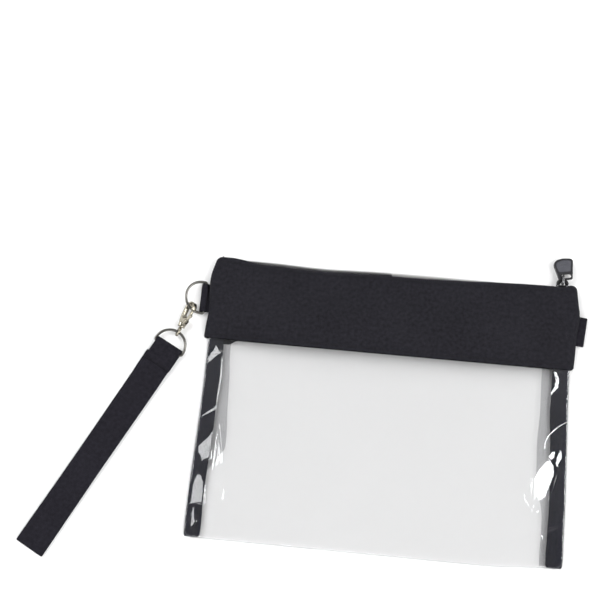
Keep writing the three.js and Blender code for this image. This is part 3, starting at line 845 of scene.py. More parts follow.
def back_clear_grid():
    x, y, distance = clear_grid(121, 71)
    lift = 1.35 * smoothstep(y, HEM - 3, HEM)
    low = lift + 0.12 + 0.1 * waves(x, y, 31, 6, 40, 90) * roll(distance, 20) ** 2
    low = np.maximum(low, 0.02)
    edge = seam_height(y) - 0.05
    z = edge + (low - edge) * roll(distance, 3.4)
    return np.stack([x, y, z], axis=2)


def halves(name, grid, thickness, material, uv=None):
    """The left and right half of a front wall's shell, joined smoothly on the middle line."""
    middle = grid.shape[1] // 2
    normal = grid_normals(grid)
    pieces = {}
    for side, part in (("left", slice(0, middle + 1)), ("right", slice(middle, None))):
        part_uv = None if uv is None else uv[:, part]
        piece = shell(f"{name}_{side}", grid[:, part], thickness, part_uv, normal=normal[:, part])
        pieces[side] = dress(piece, material)
    return pieces


def fit(nodes):
    """Hides the CAD nodes that a piece stands for, if any."""
    if nodes:
        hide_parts(*nodes)


def fix_to(piece, body, slot, *nodes):
    """A piece that moves with one body."""
    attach(piece, body)
    fit(nodes)


def hang_between(pieces, slot, *nodes):
    """Bakes each half's placing into its mesh and hides the CAD nodes that it stands for."""
    for side, piece in pieces.items():
        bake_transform(piece)
        fit(nodes)


front_clear = halves("clear_front", front_clear_grid(), PVC_THICKNESS, front_pvc)
# the front sheet's cast shadow is switched off; its material's darker tint paints that shade in
for piece in front_clear.values():
    piece.visible_shadow = False
hang_between(front_clear, "clear_pvc", "clear_front_panel")

back_clear = dress_clear(shell("clear_back", back_clear_grid(), PVC_THICKNESS, flip=True), front_pvc)
fix_to(back_clear, "bag", "clear_pvc", "clear_back_panel")

# ------------------------------------------------------------------ the black band


BAND_EDGE = BAND_TOP + 0.4  # the cloth turns over the frame's zip edge
# the band's side edges, as (y, x) points
LEFT_EDGE = [(38, -126.5), (48, -126.0), (58, -125.2), (72, -126.3)]
LEFT_EDGE += [(80, -126.1), (88, -123.8), (95, -122.0)]
RIGHT_EDGE = [(38, 126.4), (47, 127.0), (60, 127.6), (77, 128.6), (82, 127.4), (88, 126.2), (95, 125.5)]
BAND_GRIDS = {"front": (181, 61), "back": (121, 41)}  # columns and rows
ZIP_DIP = 1.15  # how much the zip sags left of the middle
HEM_SAG = 2.9  # how far the back's hem hangs below the front's, beside the left seam
HEM_LIFT = 0.235  # how much of the front's swell the hem gives up, so that it looks straight
ZIP_OPENING = 1.45  # half the space between the bands' edges
PARKED_OPENING = 2.15  # and how much more there is for the open zip's slider


def along_edge(y, knots):
    """A soft line through a few (y, x) points."""
    knot_y = np.array([k[0] for k in knots], float)
    knot_x = np.array([k[1] for k in knots], float)
    slope = np.gradient(knot_x, knot_y)
    i = np.clip(np.searchsorted(knot_y, y) - 1, 0, len(knots) - 2)
    step = knot_y[i + 1] - knot_y[i]
    t = np.clip((y - knot_y[i]) / step, 0, 1)
    start = (1 + 2 * t) * (1 - t) ** 2 * knot_x[i] + t * (1 - t) ** 2 * step * slope[i]
    end = t**2 * (3 - 2 * t) * knot_x[i + 1] - t**2 * (1 - t) * step * slope[i + 1]
    return start + end


def zip_dip(x):
    """The zip's sag, as a shift in y."""
    return -ZIP_DIP * np.exp(-(((x + 48) / 26) ** 2))


def slider_room(x):
    """1 where the open zip's slider parks, by the left seam."""
    return smoothstep(-x, 97, 105) * (1 - smoothstep(-x, 118.5, 121.5))


def corner_rise(x):
    """How much the band's ends stand above the middle of its zip edge."""
    left = 0.3 + 3.1 * smoothstep(-x, 89, 113) - 0.5 * slider_room(x) + zip_dip(x)
    right = 2.7 * smoothstep(x, 15, 105) + 1.5 * smoothstep(x, 115, 122)
    return left + right


def band_grid(side):
    """A band's plan, as x and y on a grid, with the distance to its edges and to its hem."""
    columns, rows = BAND_GRIDS[side]
    s = eased(columns)[None, :]
    t = eased(rows)[:, None] * 0.5 + 0.5
    y_line = HEM + (BAND_EDGE - HEM) * t
    inset = corner_inset(BAND_EDGE - y_line, BAND_CORNER)
    hem_inset = corner_inset(y_line - HEM, HEM_CORNER)
    left_side = along_edge(y_line, LEFT_EDGE)
    right_side = along_edge(y_line, RIGHT_EDGE)
    left = left_side + inset + hem_inset * 0.4
    right = right_side - inset - hem_inset
    x = (left + right) / 2 + s * (right - left) / 2
    top_line = corner_rise(x)
    y = y_line + t**2 * top_line
    if side == "front":
        straighten = HEM_LIFT * (front_height(x, HEM) - SIDE_HEIGHT)
        y = y - (1 - t) * straighten
    to_side = np.minimum(x - left_side, right_side - x)
    to_top = (BAND_EDGE + top_line) - y_line - t**2 * top_line
    return x, y, edge_distance(to_side, to_top, BAND_CORNER), y_line - HEM


def zip_gap(x, y):
    """Half the space that the band's edge leaves open for the zip, and for the slider where it parks."""
    return (ZIP_OPENING + PARKED_OPENING * slider_room(x)) * smoothstep(y, BAND_TOP - 12, BAND_TOP - 2)


def front_band_grid():
    x, y, distance, to_hem = band_grid("front")
    soft = 0.16 * waves(x, y, 41, 8, 18, 60) + 0.08 * waves(x, y, 43, 8, 7, 16)
    soft = soft * roll(distance, 10)
    high = front_height(x, y) + CLOTH_THICKNESS + 0.15 + soft
    high = high - 0.45 * (1 - roll(to_hem, 0.9))
    edge = seam_height(y) + zip_gap(x, y)
    z = edge + (high - edge) * roll(distance, 3.0)
    return np.stack([x, y, z], axis=2)


def back_band_grid():
    x, y, distance, to_hem = band_grid("back")
    lowered = smoothstep(-x, 103, 109) * (1 - smoothstep(-x, 120.5, 123))
    y = y - HEM_SAG * lowered * (1 - smoothstep(to_hem, 0, 8))
    low = 0.04 + 0.2 * (1 - roll(to_hem, 0.9)) + 0 * x
    edge = seam_height(y) - zip_gap(x, y)
    z = edge + (low - edge) * roll(distance, 3.0)
    return np.stack([x, y, z], axis=2)


front_band = halves("front_band_cloth", front_band_grid(), CLOTH_THICKNESS, band_cloth)
hang_between(front_band, "black_fabric", "front_band", "front_band_facing")

back_band = dress(shell("back_band_cloth", back_band_grid(), CLOTH_THICKNESS, flip=True), band_cloth)
fix_to(back_band, "bag", "black_fabric", "back_band", "back_band_facing")

# ------------------------------------------------------------------ top-stitching

STITCH_PITCH = 3.2
STITCH_LENGTH = 2.3
HEM_STITCH_GAP = 2.6  # from the hem
ZIP_STITCH_GAP = 3.4  # from the zip edge


def stitches(name, line, lift):
    """Sewn stitches along a line of points, each sunk at its ends and proud by `lift` in its middle."""
    line = np.asarray(line, float)
    lengths = passed_lengths(line)
    pieces = []
    for i in range(int(lengths[-1] / STITCH_PITCH)):
        middle = (i + 0.5) * STITCH_PITCH
        at = middle + STITCH_LENGTH * np.array([-0.5, -0.42, -0.2, 0.2, 0.42, 0.5])
        path = np.stack([np.interp(at, lengths, line[:, axis]) for axis in range(3)], axis=1)
        path[:, 2] += lift * np.array([-0.4, 0.35, 1, 1, 0.35, -0.4])
        pieces.append(sweep("stitch", path, circle(0.2, 8)))
    return joined(name, pieces)


def stitch_lines(grid, to_hem):
    """The hem's row and the zip edge's row of a band, without the rolled ends."""
    rows = []
    heights = to_hem[:, 0]
    for wanted in (HEM_STITCH_GAP, heights[-1] - ZIP_STITCH_GAP):
        row = np.interp(wanted, heights, np.arange(len(heights)))
        below = int(row)
        line = grid[below] + (grid[below + 1] - grid[below]) * (row - below)
        rows.append(line[np.abs(line[:, 0]) < HALF_WIDTH - 5])
    return rows


def sew_band():
    front_rows = stitch_lines(front_band_grid(), band_grid("front")[3])
    halves_of = {"left": [], "right": []}
    for line in front_rows:
        middle = len(line) // 2
        halves_of["left"].append(stitches("row", line[: middle + 1], 0.16))
        halves_of["right"].append(stitches("row", line[middle:], 0.16))
    sewn = {side: joined(f"front_band_stitching_{side}", rows) for side, rows in halves_of.items()}
    hang_between(sewn, "black_fabric")
    back_rows = stitch_lines(back_band_grid(), band_grid("back")[3])
    back_rows = [stitches("row", line + (0, 0, 0.04), -0.1) for line in back_rows]
    back = joined("back_band_stitching", back_rows)
    fix_to(back, "bag", "black_fabric")
    for piece in (*sewn.values(), back):
        dress(piece, thread_black)


sew_band()

# ------------------------------------------------------------------ bindings of the side seams


BINDING_TOP = 84.0  # it ends inside the band
BINDING_HALF_THICK = 0.55
ALLOWANCE_THICKNESS = 0.3


def binding(side):
    """A folded tape inside a side seam, seen through the clear sheet, with a soft wavy edge."""
    end = bottom_edge(side * 119.0) + 0.6
    y = np.linspace(end, BINDING_TOP, 110)
    outer = binding_outer(side, y)
    if side < 0:
        inner = outer + 10.6
    else:
        inner = 112.2 + 2.5 * smoothstep(-y, -20, 50) - 0.8 * smoothstep(-y, 60, 75)
    inner = inner - side * (0.2 * np.sin(y / 9.0 + side) + 0.1 * np.sin(y / 3.7))
    rounding = np.clip(1 - (y - end) / 2.5, 0, 1) ** 2 * 0.9
    outer = outer - side * rounding
    inner = inner + side * rounding
    centre_z = seam_height(y) + 0.15
    upper = []
    lower = []
    for share in (0.0, 0.06, 0.16, 0.3, 0.42, 0.5, 0.58, 0.7, 0.84, 0.94, 1.0):
        crown = BINDING_HALF_THICK * math.sqrt(max(1 - (2 * share - 1) ** 6, 0.05))
        across = outer + (inner - outer) * share
        upper.append((across, centre_z + crown))
        lower.append((across, centre_z - crown))
    rings = np.stack([np.stack([x, y, z], axis=1) for x, z in upper + lower[::-1]], axis=1)
    name = "left_seam_binding" if side < 0 else "right_seam_binding"
    return dress(tube(name, rings, uv=rings.reshape(-1, 3)[:, :2]), binding_cloth)


def seam_allowance(side):
    """The clear sheets' cut edges inside the seam: a strip that reaches past the binding. Its darker
    material is partly a doubled sheet and partly painted shade beside the binding.
    """
    rows, columns = 70, 9
    y = np.linspace(bottom_edge(side * 112.0) + 1.5, CLEAR_TOP, rows)[:, None]
    t = np.linspace(0, 1, columns)[None, :]
    outer = side * 121.5
    if side < 0:
        inner = -107.3 + 4.3 * smoothstep(-y, -36, 33) - 12.4 * smoothstep(-y, 34, 58)
    else:
        inner = 105.0 + 4.6 * smoothstep(-y, 30, 60)
    inner = inner + 0.4 * np.sin(y / 17.0) + 0.25 * np.sin(y / 6.1)
    x = outer + (inner - outer) * t
    z = seam_height(y) + 0.85 + 0.5 * t**2 + 0.12 * np.sin(y / 5.0 + 2 * t)
    grid = np.stack([x, y + 0 * x, z], axis=2)
    name = "left_seam_allowance" if side < 0 else "right_seam_allowance"
    return dress_clear(shell(name, grid, ALLOWANCE_THICKNESS, flip=side > 0), folded_pvc_with_painted_shade)


# the left and right strips of clear sheet beside the bindings
for side, node in ((-1, "left_side_binding"), (1, "right_side_binding")):
    fix_to(binding(side), "bag", "black_tape", node)
    allowance = seam_allowance(side)
    fix_to(allowance, "bag", "clear_pvc")

# ------------------------------------------------------------------ the zip

TAPE_Y = node_box("back_zip_tape")[1][1]
COIL_LOW, COIL_HIGH = node_box("back_zip_coil")
COIL_Y = (COIL_LOW[1] + COIL_HIGH[1]) / 2
TAPE_THICKNESS = 0.5
COIL_PITCH = 1.4
TAPE_PUCKER = 1.2  # how far the tapes' loose ends stand up past the slider, beyond the band's own rise
WINGS = node_box("zip_slider_body")


def tape_end(x):
    """How far the tapes' loose ends pucker up past the closed slider."""
    from_slider = x - SLIDER_X
    window = smoothstep(from_slider, 0.5, 2.2) * (1 - smoothstep(from_slider, 2.6, 6.4))
    return (corner_rise(x) + TAPE_PUCKER) * window


def zip_tape(side):
    """One woven tape, from under the band's edge up to the coil. side is 1 for the front."""
    x = np.linspace(-ZIP_HALF, ZIP_HALF, 361)
    line = [(BAND_TOP - 3.4, 3.25), (BAND_TOP - 1.5, 3.05), (TAPE_Y - 0.75, 2.6)]
    line += [(TAPE_Y - 0.3, 2.05), (TAPE_Y - 0.1, 1.5), (TAPE_Y - 0.1, 0.95)]
    rows = []
    for y, z in line:
        share = (y - line[0][0]) / (line[-1][0] - line[0][0])
        rows.append(np.stack([x, y + zip_dip(x) + share * tape_end(x), ZIP_Z + side * (z + 0 * x)], axis=1))
    grid = np.stack(rows)
    lengths = np.array([0, 1.9, 3.1, 3.8, 4.4, 5.0])
    uv = np.stack(np.broadcast_arrays(x[None, :], lengths[:, None]), axis=2)
    return grid, uv


def coil_teeth(side, low_x, high_x):
    """One half of the coil: a row of wire loops that reach past the middle of the zip."""
    loops = []
    offset = 0 if side > 0 else COIL_PITCH / 2
    count = int((high_x - low_x) / COIL_PITCH)
    for i in range(count):
        x = low_x + offset + i * COIL_PITCH
        top = [(0.0, COIL_Y + 0.62, 1.75), (0.0, COIL_Y + 0.66, 0.6), (0.0, COIL_Y + 0.5, -0.25)]
        tip = [(0.06, COIL_Y, -0.62)]
        low = [(0.12, COIL_Y - 0.5, -0.25), (0.3, COIL_Y - 0.66, 0.6), (0.5, COIL_Y - 0.62, 1.75)]
        path = [(x + dx, y + zip_dip(x), ZIP_Z + side * z) for dx, y, z in top + tip + low]
        loops.append(sweep("tooth", path, circle(0.3, 6), up=(1, 0, 0)))
    return loops


def build_tapes():
    grid, uv = zip_tape(-1)
    back = dress(shell("back_zip_tape_cloth", grid, TAPE_THICKNESS, uv, flip=True), zip_cloth)
    fix_to(back, "bag", "black_tape", "back_zip_tape")
    grid, uv = zip_tape(1)
    front = halves("front_zip_tape_cloth", grid, TAPE_THICKNESS, zip_cloth, uv)
    hang_between(front, "black_tape", "front_zip_tape")


def build_coils():
    left, right = COIL_LOW[0], COIL_HIGH[0]
    back = dress(joined("back_coil", coil_teeth(-1, left, right)), coil_plastic)
    fix_to(back, "bag", "coil_nylon", "back_zip_coil")
    front = {}
    for side, low_x, high_x in (("left", left, 0), ("right", 0, right)):
        front[side] = dress(joined(f"front_coil_{side}", coil_teeth(1, low_x, high_x)), coil_plastic)
    hang_between(front, "coil_nylon", "front_zip_coil")


build_tapes()
build_coils()

# ------------------------------------------------------------------ slider, link and puller


CROWN_REACH = 3.0  # half the span of the slider's bridge
CROWN_FLATNESS = 2.4  # its section's width over its thickness
WING_THICKNESS = 1.1
OUTER_WING, INNER_WING = 6.6, 5.2  # the wings' widths


def wing_outline(width, length):
    """A slider's wing, blunt at its tail and round at the end that parts the coil."""
    half, edge = length / 2, -width / 2
    points = [(-half, edge + 0.9)]
    bend(points, (-half + 0.2, edge + 0.3), (-half + 2, edge + 0.2), 4)
    points += [(half - 2.2, edge)]
    bend(points, (half - 0.3, edge + 0.1), (half, -0.9), 6)
    points += [(x, -y) for x, y in points[::-1]]
    return points


def build_slider():
    length = WINGS[1][0] - WINGS[0][0]
    outer_face = LINK_Y - 1.3
    inner_face = WINGS[0][1]
    half_thick = WING_THICKNESS / 2
    parts = []
    for width, centre_y in ((OUTER_WING, outer_face - half_thick), (INNER_WING, inner_face + half_thick)):
        wing = rounded_plate("wing", wing_outline(width, length), WING_THICKNESS, 0.28)
        parts.append(place(wing, (SLIDER_X, centre_y, ZIP_Z), (1, 0, 0), (0, 0, -1)))
    post_outline = [(0, -0.6), (1.9, -0.3), (1.9, 0.3), (0, 0.6)]
    post = rounded_plate("post", post_outline, outer_face - inner_face - 0.8, 0.1)
    middle = (outer_face + inner_face) / 2
    parts.append(place(post, (SLIDER_X + 1.4, middle, ZIP_Z), (1, 0, 0), (0, 0, -1)))
    bridge = [(-CROWN_REACH, outer_face - 0.3), (-CROWN_REACH, LINK_Y)]
    bridge += [
        (-CROWN_REACH * math.cos(a), LINK_Y + CROWN_REACH * math.sin(a))
        for a in np.linspace(0.25, math.pi - 0.25, 9)
    ]
    bridge += [(CROWN_REACH, LINK_Y), (CROWN_REACH, outer_face - 0.3)]
    section = [(x * CROWN_FLATNESS, y) for x, y in circle(0.6, 14)]
    crown_path = [(SLIDER_X + x, y, ZIP_Z) for x, y in bridge]
    parts.append(sweep("crown", crown_path, section, up=(0.001, 0.3, 1)))
    slider = dress(joined("slider_casting", parts), black_lacquer)
    fix_to(slider, "zip_slider", "slider_metal", "zip_slider_body")


LINK_WIRE = 0.75  # the pull link's radius


def build_pull_link():
    low, high = LINK_Y, joint_place("puller_swing")[1]
    reach = 2.6
    corner = 0.9
    corners = [(low, -reach), (low, reach), (high, reach), (high, -reach)]
    path = []
    for index, (y, z) in enumerate(corners):
        before = np.array(corners[index - 1])
        here = np.array((y, z))
        after = np.array(corners[(index + 1) % 4])
        start = here + unit(before - here) * corner
        end = here + unit(after - here) * corner
        path += [tuple(start)] + curve_points(start, here, end, 5)
    points = [(SLIDER_X, y, ZIP_Z + z) for y, z in path]
    link = sweep("pull_link_wire", points, circle(LINK_WIRE, 14), closed=True, up=(1, 0, 0))
    dress(link, black_lacquer)
    fix_to(link, "pull_link", "slider_metal", "zip_pull_link")


FAN_LEAN = 11.0  # degrees that the puller leans to the left
FAN_MIDDLE = 1.6  # how far its middle line stands beside the link
FAN_FOOT, FAN_FOOT_HALF = 2.6, 4.8
FAN_LENGTH, FAN_TOP_HALF = 12.2, 6.7
RIGHT_SHOULDER, LEFT_SHOULDER = 2.6, 4.6
SLOT_RADIUS = 1.4
FIELD_INSET, FIELD_LOW = 1.3, 1.6  # the recessed faces, in from the outline and up from the pivot


def fan_outline(inset=0.0, low=-FAN_FOOT):
    """The puller's outline about its middle line, from a height up, drawn in by an inset."""
    low, top = low + inset, FAN_LENGTH - inset
    slope = (FAN_TOP_HALF - FAN_FOOT_HALF) / (FAN_LENGTH + FAN_FOOT - 4)
    foot = FAN_FOOT_HALF + slope * (low + FAN_FOOT - inset) - inset
    wide = FAN_TOP_HALF - inset
    corner = max(1.2 - inset * 0.4, 0.5)
    sides = []
    for full_shoulder in (RIGHT_SHOULDER, LEFT_SHOULDER):
        shoulder = max(full_shoulder - inset, 1.2)
        crown_start = wide - shoulder
        side = [(foot - corner, low)]
        bend(side, (foot, low), (foot, low + corner), 5)
        side += [(wide, top - shoulder)]
        bend(side, (wide + 0.2, top - 0.4), (crown_start, top), 9)
        bend(side, (0.6 * crown_start, top + 0.3), (0, top + 0.4), 4)
        sides.append(side)
    right, left = sides
    mirrored = [(-x, y) for x, y in left[::-1][1:]]
    return [(FAN_MIDDLE + x, y) for x, y in right + mirrored]


def puller_ribs():
    """Three faint bowed ribs on each face of the puller's inlay."""
    ribs = []
    for y in (6.4, 8.0, 9.6):
        half = 2.5 + 0.1 * y
        for face in (1, -1):
            across = np.linspace(-half, half, 13)
            line = [(FAN_MIDDLE + x, y + 0.4 - 0.4 * (x / half) ** 2, face * 1.16) for x in across]
            ribs.append(sweep("rib", line, circle(0.2, 8)))
    return ribs


def build_puller():
    inlay = rounded_plate("inlay", fan_outline(FIELD_INSET - 0.05, FIELD_LOW - 0.05), 2.3, 0.1, segments=2)
    inlay = joined("puller_inlay", [inlay] + puller_ribs())
    slot = arc_points((4.3, 0), SLOT_RADIUS, -90, 90, 12)
    slot += arc_points((0.4, 0), SLOT_RADIUS, 90, 270, 12)
    puller = rounded_plate("fan_puller", fan_outline(), 2.9, 0.7, holes=[slot], segments=4)
    fields = []
    for face in (1, -1):
        field = rounded_plate("field", fan_outline(FIELD_INSET, FIELD_LOW), 0.9, 0.12, segments=2)
        fields.append(place(field, (0, 0, face * 1.5), (1, 0, 0), (0, 1, 0)))
    cut_away(puller, fields)
    lean = math.radians(FAN_LEAN)
    pivot = joint_place("puller_swing")
    for piece, material in ((puller, puller_plastic), (inlay, field_plastic)):
        place(piece, pivot, (math.cos(lean), math.sin(lean), 0), (-math.sin(lean), math.cos(lean), 0))
        sharpen(piece, 35)
        dress(piece, material)
    fix_to(puller, "puller", "puller_moulding", "zip_puller")
    fix_to(inlay, "puller", "puller_moulding")


build_slider()
build_pull_link()
build_puller()

# ------------------------------------------------------------------ side tabs


def ribbon(name, route, width, thickness=WEBBING_THICKNESS, shift=None):
    """Webbing laid along a route of (along, height) points, its width along the third axis."""
    route = np.asarray(route, float)
    side = np.zeros(len(route)) if shift is None else np.asarray(shift, float)
    path = np.stack([route[:, 0], route[:, 1], side], axis=1)
    section = flat_section(width, thickness)
    piece = sweep(name, path, [(h, s) for s, h in section], keep_up=True)
    return dress(piece, webbing_cloth)


TAB_SLACK = 1.0  # how far the left tab's fold stands past the ring's bar
RIGHT_TAB_TURN = -5.9  # degrees
RIGHT_TAB_LENGTH = 10.5
RIGHT_TAB_RISE = 0.3  # towards the zip
PLY = 0.52  # from a folded tab's middle to its plies' middles


def tab_route(radius, neck, length):
    """Round a ring's bar at the origin, with slack past it, and back to the seam."""
    turn = math.degrees(math.asin(min(neck / radius, 1)))
    route = [(length, neck), (length * 0.55, neck)]
    route += arc_points((0, 0), radius, turn, 90, 8)
    route += arc_points((-TAB_SLACK, 0), radius, 90, 270, 20)
    route += arc_points((0, 0), radius, 270, 360 - turn, 8)
    route += [(length * 0.55, -neck), (length, -neck)]
    return route


def build_tabs():
    bar = joint_place("bag_ring_swing")
    left = ribbon("left_tab_webbing", tab_route(1.55, PLY, 7.0), TAB_WIDTH + 0.2)
    place(left, bar, (1, 0, 0), (0, 0, 1))
    low, high = node_box("right_side_tab")
    centre = (low + high) / 2
    turn = math.radians(RIGHT_TAB_TURN)
    halfway = RIGHT_TAB_LENGTH / 2
    route = [(0, 0.5), (halfway, PLY)]
    route += arc_points((RIGHT_TAB_LENGTH - 1.0, 0), 0.55, 90, -90, 12)
    route += [(halfway, -PLY), (0, -0.5)]
    right = ribbon("right_tab_webbing", route, TAB_WIDTH + 0.9)
    start = (HALF_WIDTH - 2.0, centre[1] + RIGHT_TAB_RISE, centre[2])
    place(right, start, (math.cos(turn), math.sin(turn), 0), (0, 0, 1))
    fix_to(left, "bag", "black_webbing", "left_side_tab")
    fix_to(right, "bag", "black_webbing", "right_side_tab")


build_tabs()

# ------------------------------------------------------------------ D-rings

RING_HALF, RING_ARC = 11.0, 10.8  # half the bar, and the arc's depth
BAG_RING_SIDE, STRAP_RING_SIDE = 2.6, 1.8  # straight sides


def d_ring(name, straight):
    """A D-ring with its bar along Y and its arc out along +X, of round wire with a welded bar."""
    corner = 1.2
    bar_end = RING_HALF - corner
    path = [(0, y) for y in np.linspace(-bar_end, bar_end, 18)]
    bend(path, (0, RING_HALF), (corner, RING_HALF), 6)
    path += [(straight - 0.2, RING_HALF)]
    for angle in np.linspace(math.pi / 2, -math.pi / 2, 56):
        path.append((straight + RING_ARC * math.cos(angle), RING_HALF * math.sin(angle)))
    path += [(straight - 0.2, -RING_HALF), (corner, -RING_HALF)]
    bend(path, (0, -RING_HALF), (0, -bar_end), 6)
    path = [(x, y, 0) for x, y in path[:-1]]
    return dress(sweep(name, path, circle(WIRE, 20), closed=True), ring_plating)


ring_bar = joint_place("bag_ring_swing")
hooked = joint_place("clasp_rock")
ring_out = hooked - ring_bar
ring_out[1] = 0
bag_ring = place(d_ring("pouch_ring", BAG_RING_SIDE), ring_bar, ring_out, (0, 1, 0))
fix_to(bag_ring, "bag_ring", "pale_gold_metal", "bag_d_ring")

strap_bar = joint_place("strap_swing")
eye_centre = joint_place("swivel_turn")
strap_across = joint_axis("strap_swing")
strap_direction = np.cross((0, 0, 1), strap_across)
strap_ring = d_ring("strap_ring_wire", STRAP_RING_SIDE)
place(strap_ring, strap_bar, eye_centre - strap_bar, -strap_across)
fix_to(strap_ring, "strap_ring", "pale_gold_metal", "strap_d_ring")

# ------------------------------------------------------------------ the swivel clasp

clasp_up = joint_axis("swivel_turn")
clasp_face = joint_axis("clasp_gate_press")
gate_side = np.cross(clasp_up, clasp_face)
hook_centre = hooked - 0.3 * clasp_up
HOOK_INNER, HOOK_OUTER = 2.9, 4.8  # radii
HOOK_THICKNESS = 3.3
GATE_THICKNESS = 1.5
PIVOT = (1.9, -9.4)  # the gate's, beside and below the hook's centre
SPRING_TURNS = 3.5


def set_in_clasp(piece, body, node):
    dress(place(piece, hook_centre, gate_side, clasp_up), pale_gold)
    fix_to(piece, body, "pale_gold_metal", node)


def clasp_collar():
    """The ribbed collar at the hook's foot, which the swivel turns in."""
    profile = [(1.1, -14.6), (2.0, -14.6), (2.5, -14.35), (2.7, -13.9), (2.45, -13.5), (2.45, -13.2)]
    profile += [(2.7, -12.8), (2.7, -11.3), (2.3, -10.7), (1.5, -10.5), (1.1, -10.5)]
    angles = np.linspace(0, 2 * math.pi, 33)[:-1]
    rings = [[(r * math.cos(a), height, r * math.sin(a)) for a in angles] for r, height in profile]
    return sharpen(tube("collar", np.array(rings), closed=True), 40)


def build_hook():
    tip = -8
    outline = [(-2.5, -12.4)]
    bend(outline, (-HOOK_OUTER - 0.2, -8), (-HOOK_OUTER, 0), 10)
    outline += arc_points((0, 0), HOOK_OUTER, 180, tip, 30)[1:]
    outline += arc_points((0, 0), HOOK_INNER, tip, 180, 26)
    bend(outline, (-HOOK_INNER, -5.2), (-1.6, -7.6), 7)
    bend(outline, (-0.6, -8.6), (0.8, -7.7), 5)
    outline += arc_points(PIVOT, 1.7, 105, -20, 12)
    outline += [(2.5, -12.4)]
    body = rounded_plate("hook", outline, HOOK_THICKNESS, 0.7, segments=4)
    gate_slot = [(0.1, -7.0), (0.1, -11.0), (6.0, -11.0), (6.0, -7.0)]
    cut_away(body, [rounded_plate("gate_slot", gate_slot, 2.0, 0)])
    sharpen(body, 35)
    set_in_clasp(joined("lobster_hook", [body, clasp_collar()]), "clasp", "clasp_hook_body")


def build_gate_spring():
    share = np.linspace(0, 1, 64)
    around = 2 * math.pi * SPRING_TURNS * share
    coil = np.stack([-0.75 + 1.7 * share, -6.6 + 0.5 * np.cos(around), 0.5 * np.sin(around)], axis=1)
    spring = sweep("gate_spring_coil", coil, circle(0.13, 8), up=(1, 0, 0))
    set_in_clasp(spring, "clasp", "clasp_gate_spring")


def build_gate_pin():
    profile = [(0.0, -1.85), (0.75, -1.85), (0.85, -1.7), (0.6, -1.6)]
    profile += [(radius, -height) for radius, height in profile[::-1]]
    pin = lathe("gate_rivet", profile, 20)
    place(pin, (*PIVOT, 0), (1, 0, 0), (0, 1, 0))
    set_in_clasp(pin, "clasp", "clasp_gate_pin")


def build_gate():
    lever = arc_points(PIVOT, 1.25, 150, 342, 14)
    bend(lever, (3.6, -8.6), (4.0, -7.0), 4)
    bend(lever, (4.6, -6.4), (5.7, -5.4), 4)
    bend(lever, (6.3, -4.4), (5.3, -4.0), 5)
    bend(lever, (4.5, -3.8), (4.55, -2.6), 4)
    lever += [(4.6, -1.15), (3.1, -1.15)]
    bend(lever, (3.0, -5.0), (1.6, -7.6), 6)
    gate = rounded_plate("thumb_gate", lever, GATE_THICKNESS, 0.35)
    set_in_clasp(gate, "gate", "clasp_gate")


EYE_RADIUS = 2.5
EYE_TURN = 25.0  # degrees that the swivel's eye has turned about the clasp's length


def build_swivel():
    around = np.arange(48) * 2 * math.pi / 48
    ring_path = [(EYE_RADIUS * math.cos(a), EYE_RADIUS * math.sin(a), 0) for a in around]
    ring = sweep("ring", ring_path, circle(0.8, 16), closed=True)
    to_hook = float(np.linalg.norm(hook_centre - eye_centre))
    neck = [(0, 2.2), (1.6, 2.3), (1.25, 3.0), (0.85, 3.5), (0.8, to_hook - 12.4)]
    neck += [(1.4, to_hook - 12.35), (1.4, to_hook - 11.7), (0, to_hook - 11.7)]
    shank = lathe("shank", neck, 20)
    place(shank, (0, 0, 0), (0, 0, 1), (1, 0, 0))
    eye = joined("swivel_eye_casting", [ring, shank])
    level = unit(np.cross(clasp_up, (0, 0, 1)))
    upright = np.cross(level, clasp_up)
    turn = math.radians(EYE_TURN)
    place(eye, eye_centre, upright * math.cos(turn) + level * math.sin(turn), clasp_up)
    dress(eye, pale_gold)
    fix_to(eye, "swivel", "pale_gold_metal", "swivel_eye")


build_hook()
build_gate_spring()
build_gate_pin()
build_gate()
build_swivel()

# ------------------------------------------------------------------ the wrist strap

STRAP_END = 163.4  # distances along the strap start at its ring's bar
COVER_END = 14.0
COVER_SLACK = 1.2  # how far the cover's fold stands past the ring's bar
STRAP_WEBBING = 20.4
STRAP_START = 8.6
STRAP_SHIFT = 0.75  # how far the loop sits to the left of its end cover


def in_strap(piece):
    return place(piece, strap_bar, strap_direction, (0, 0, 1))


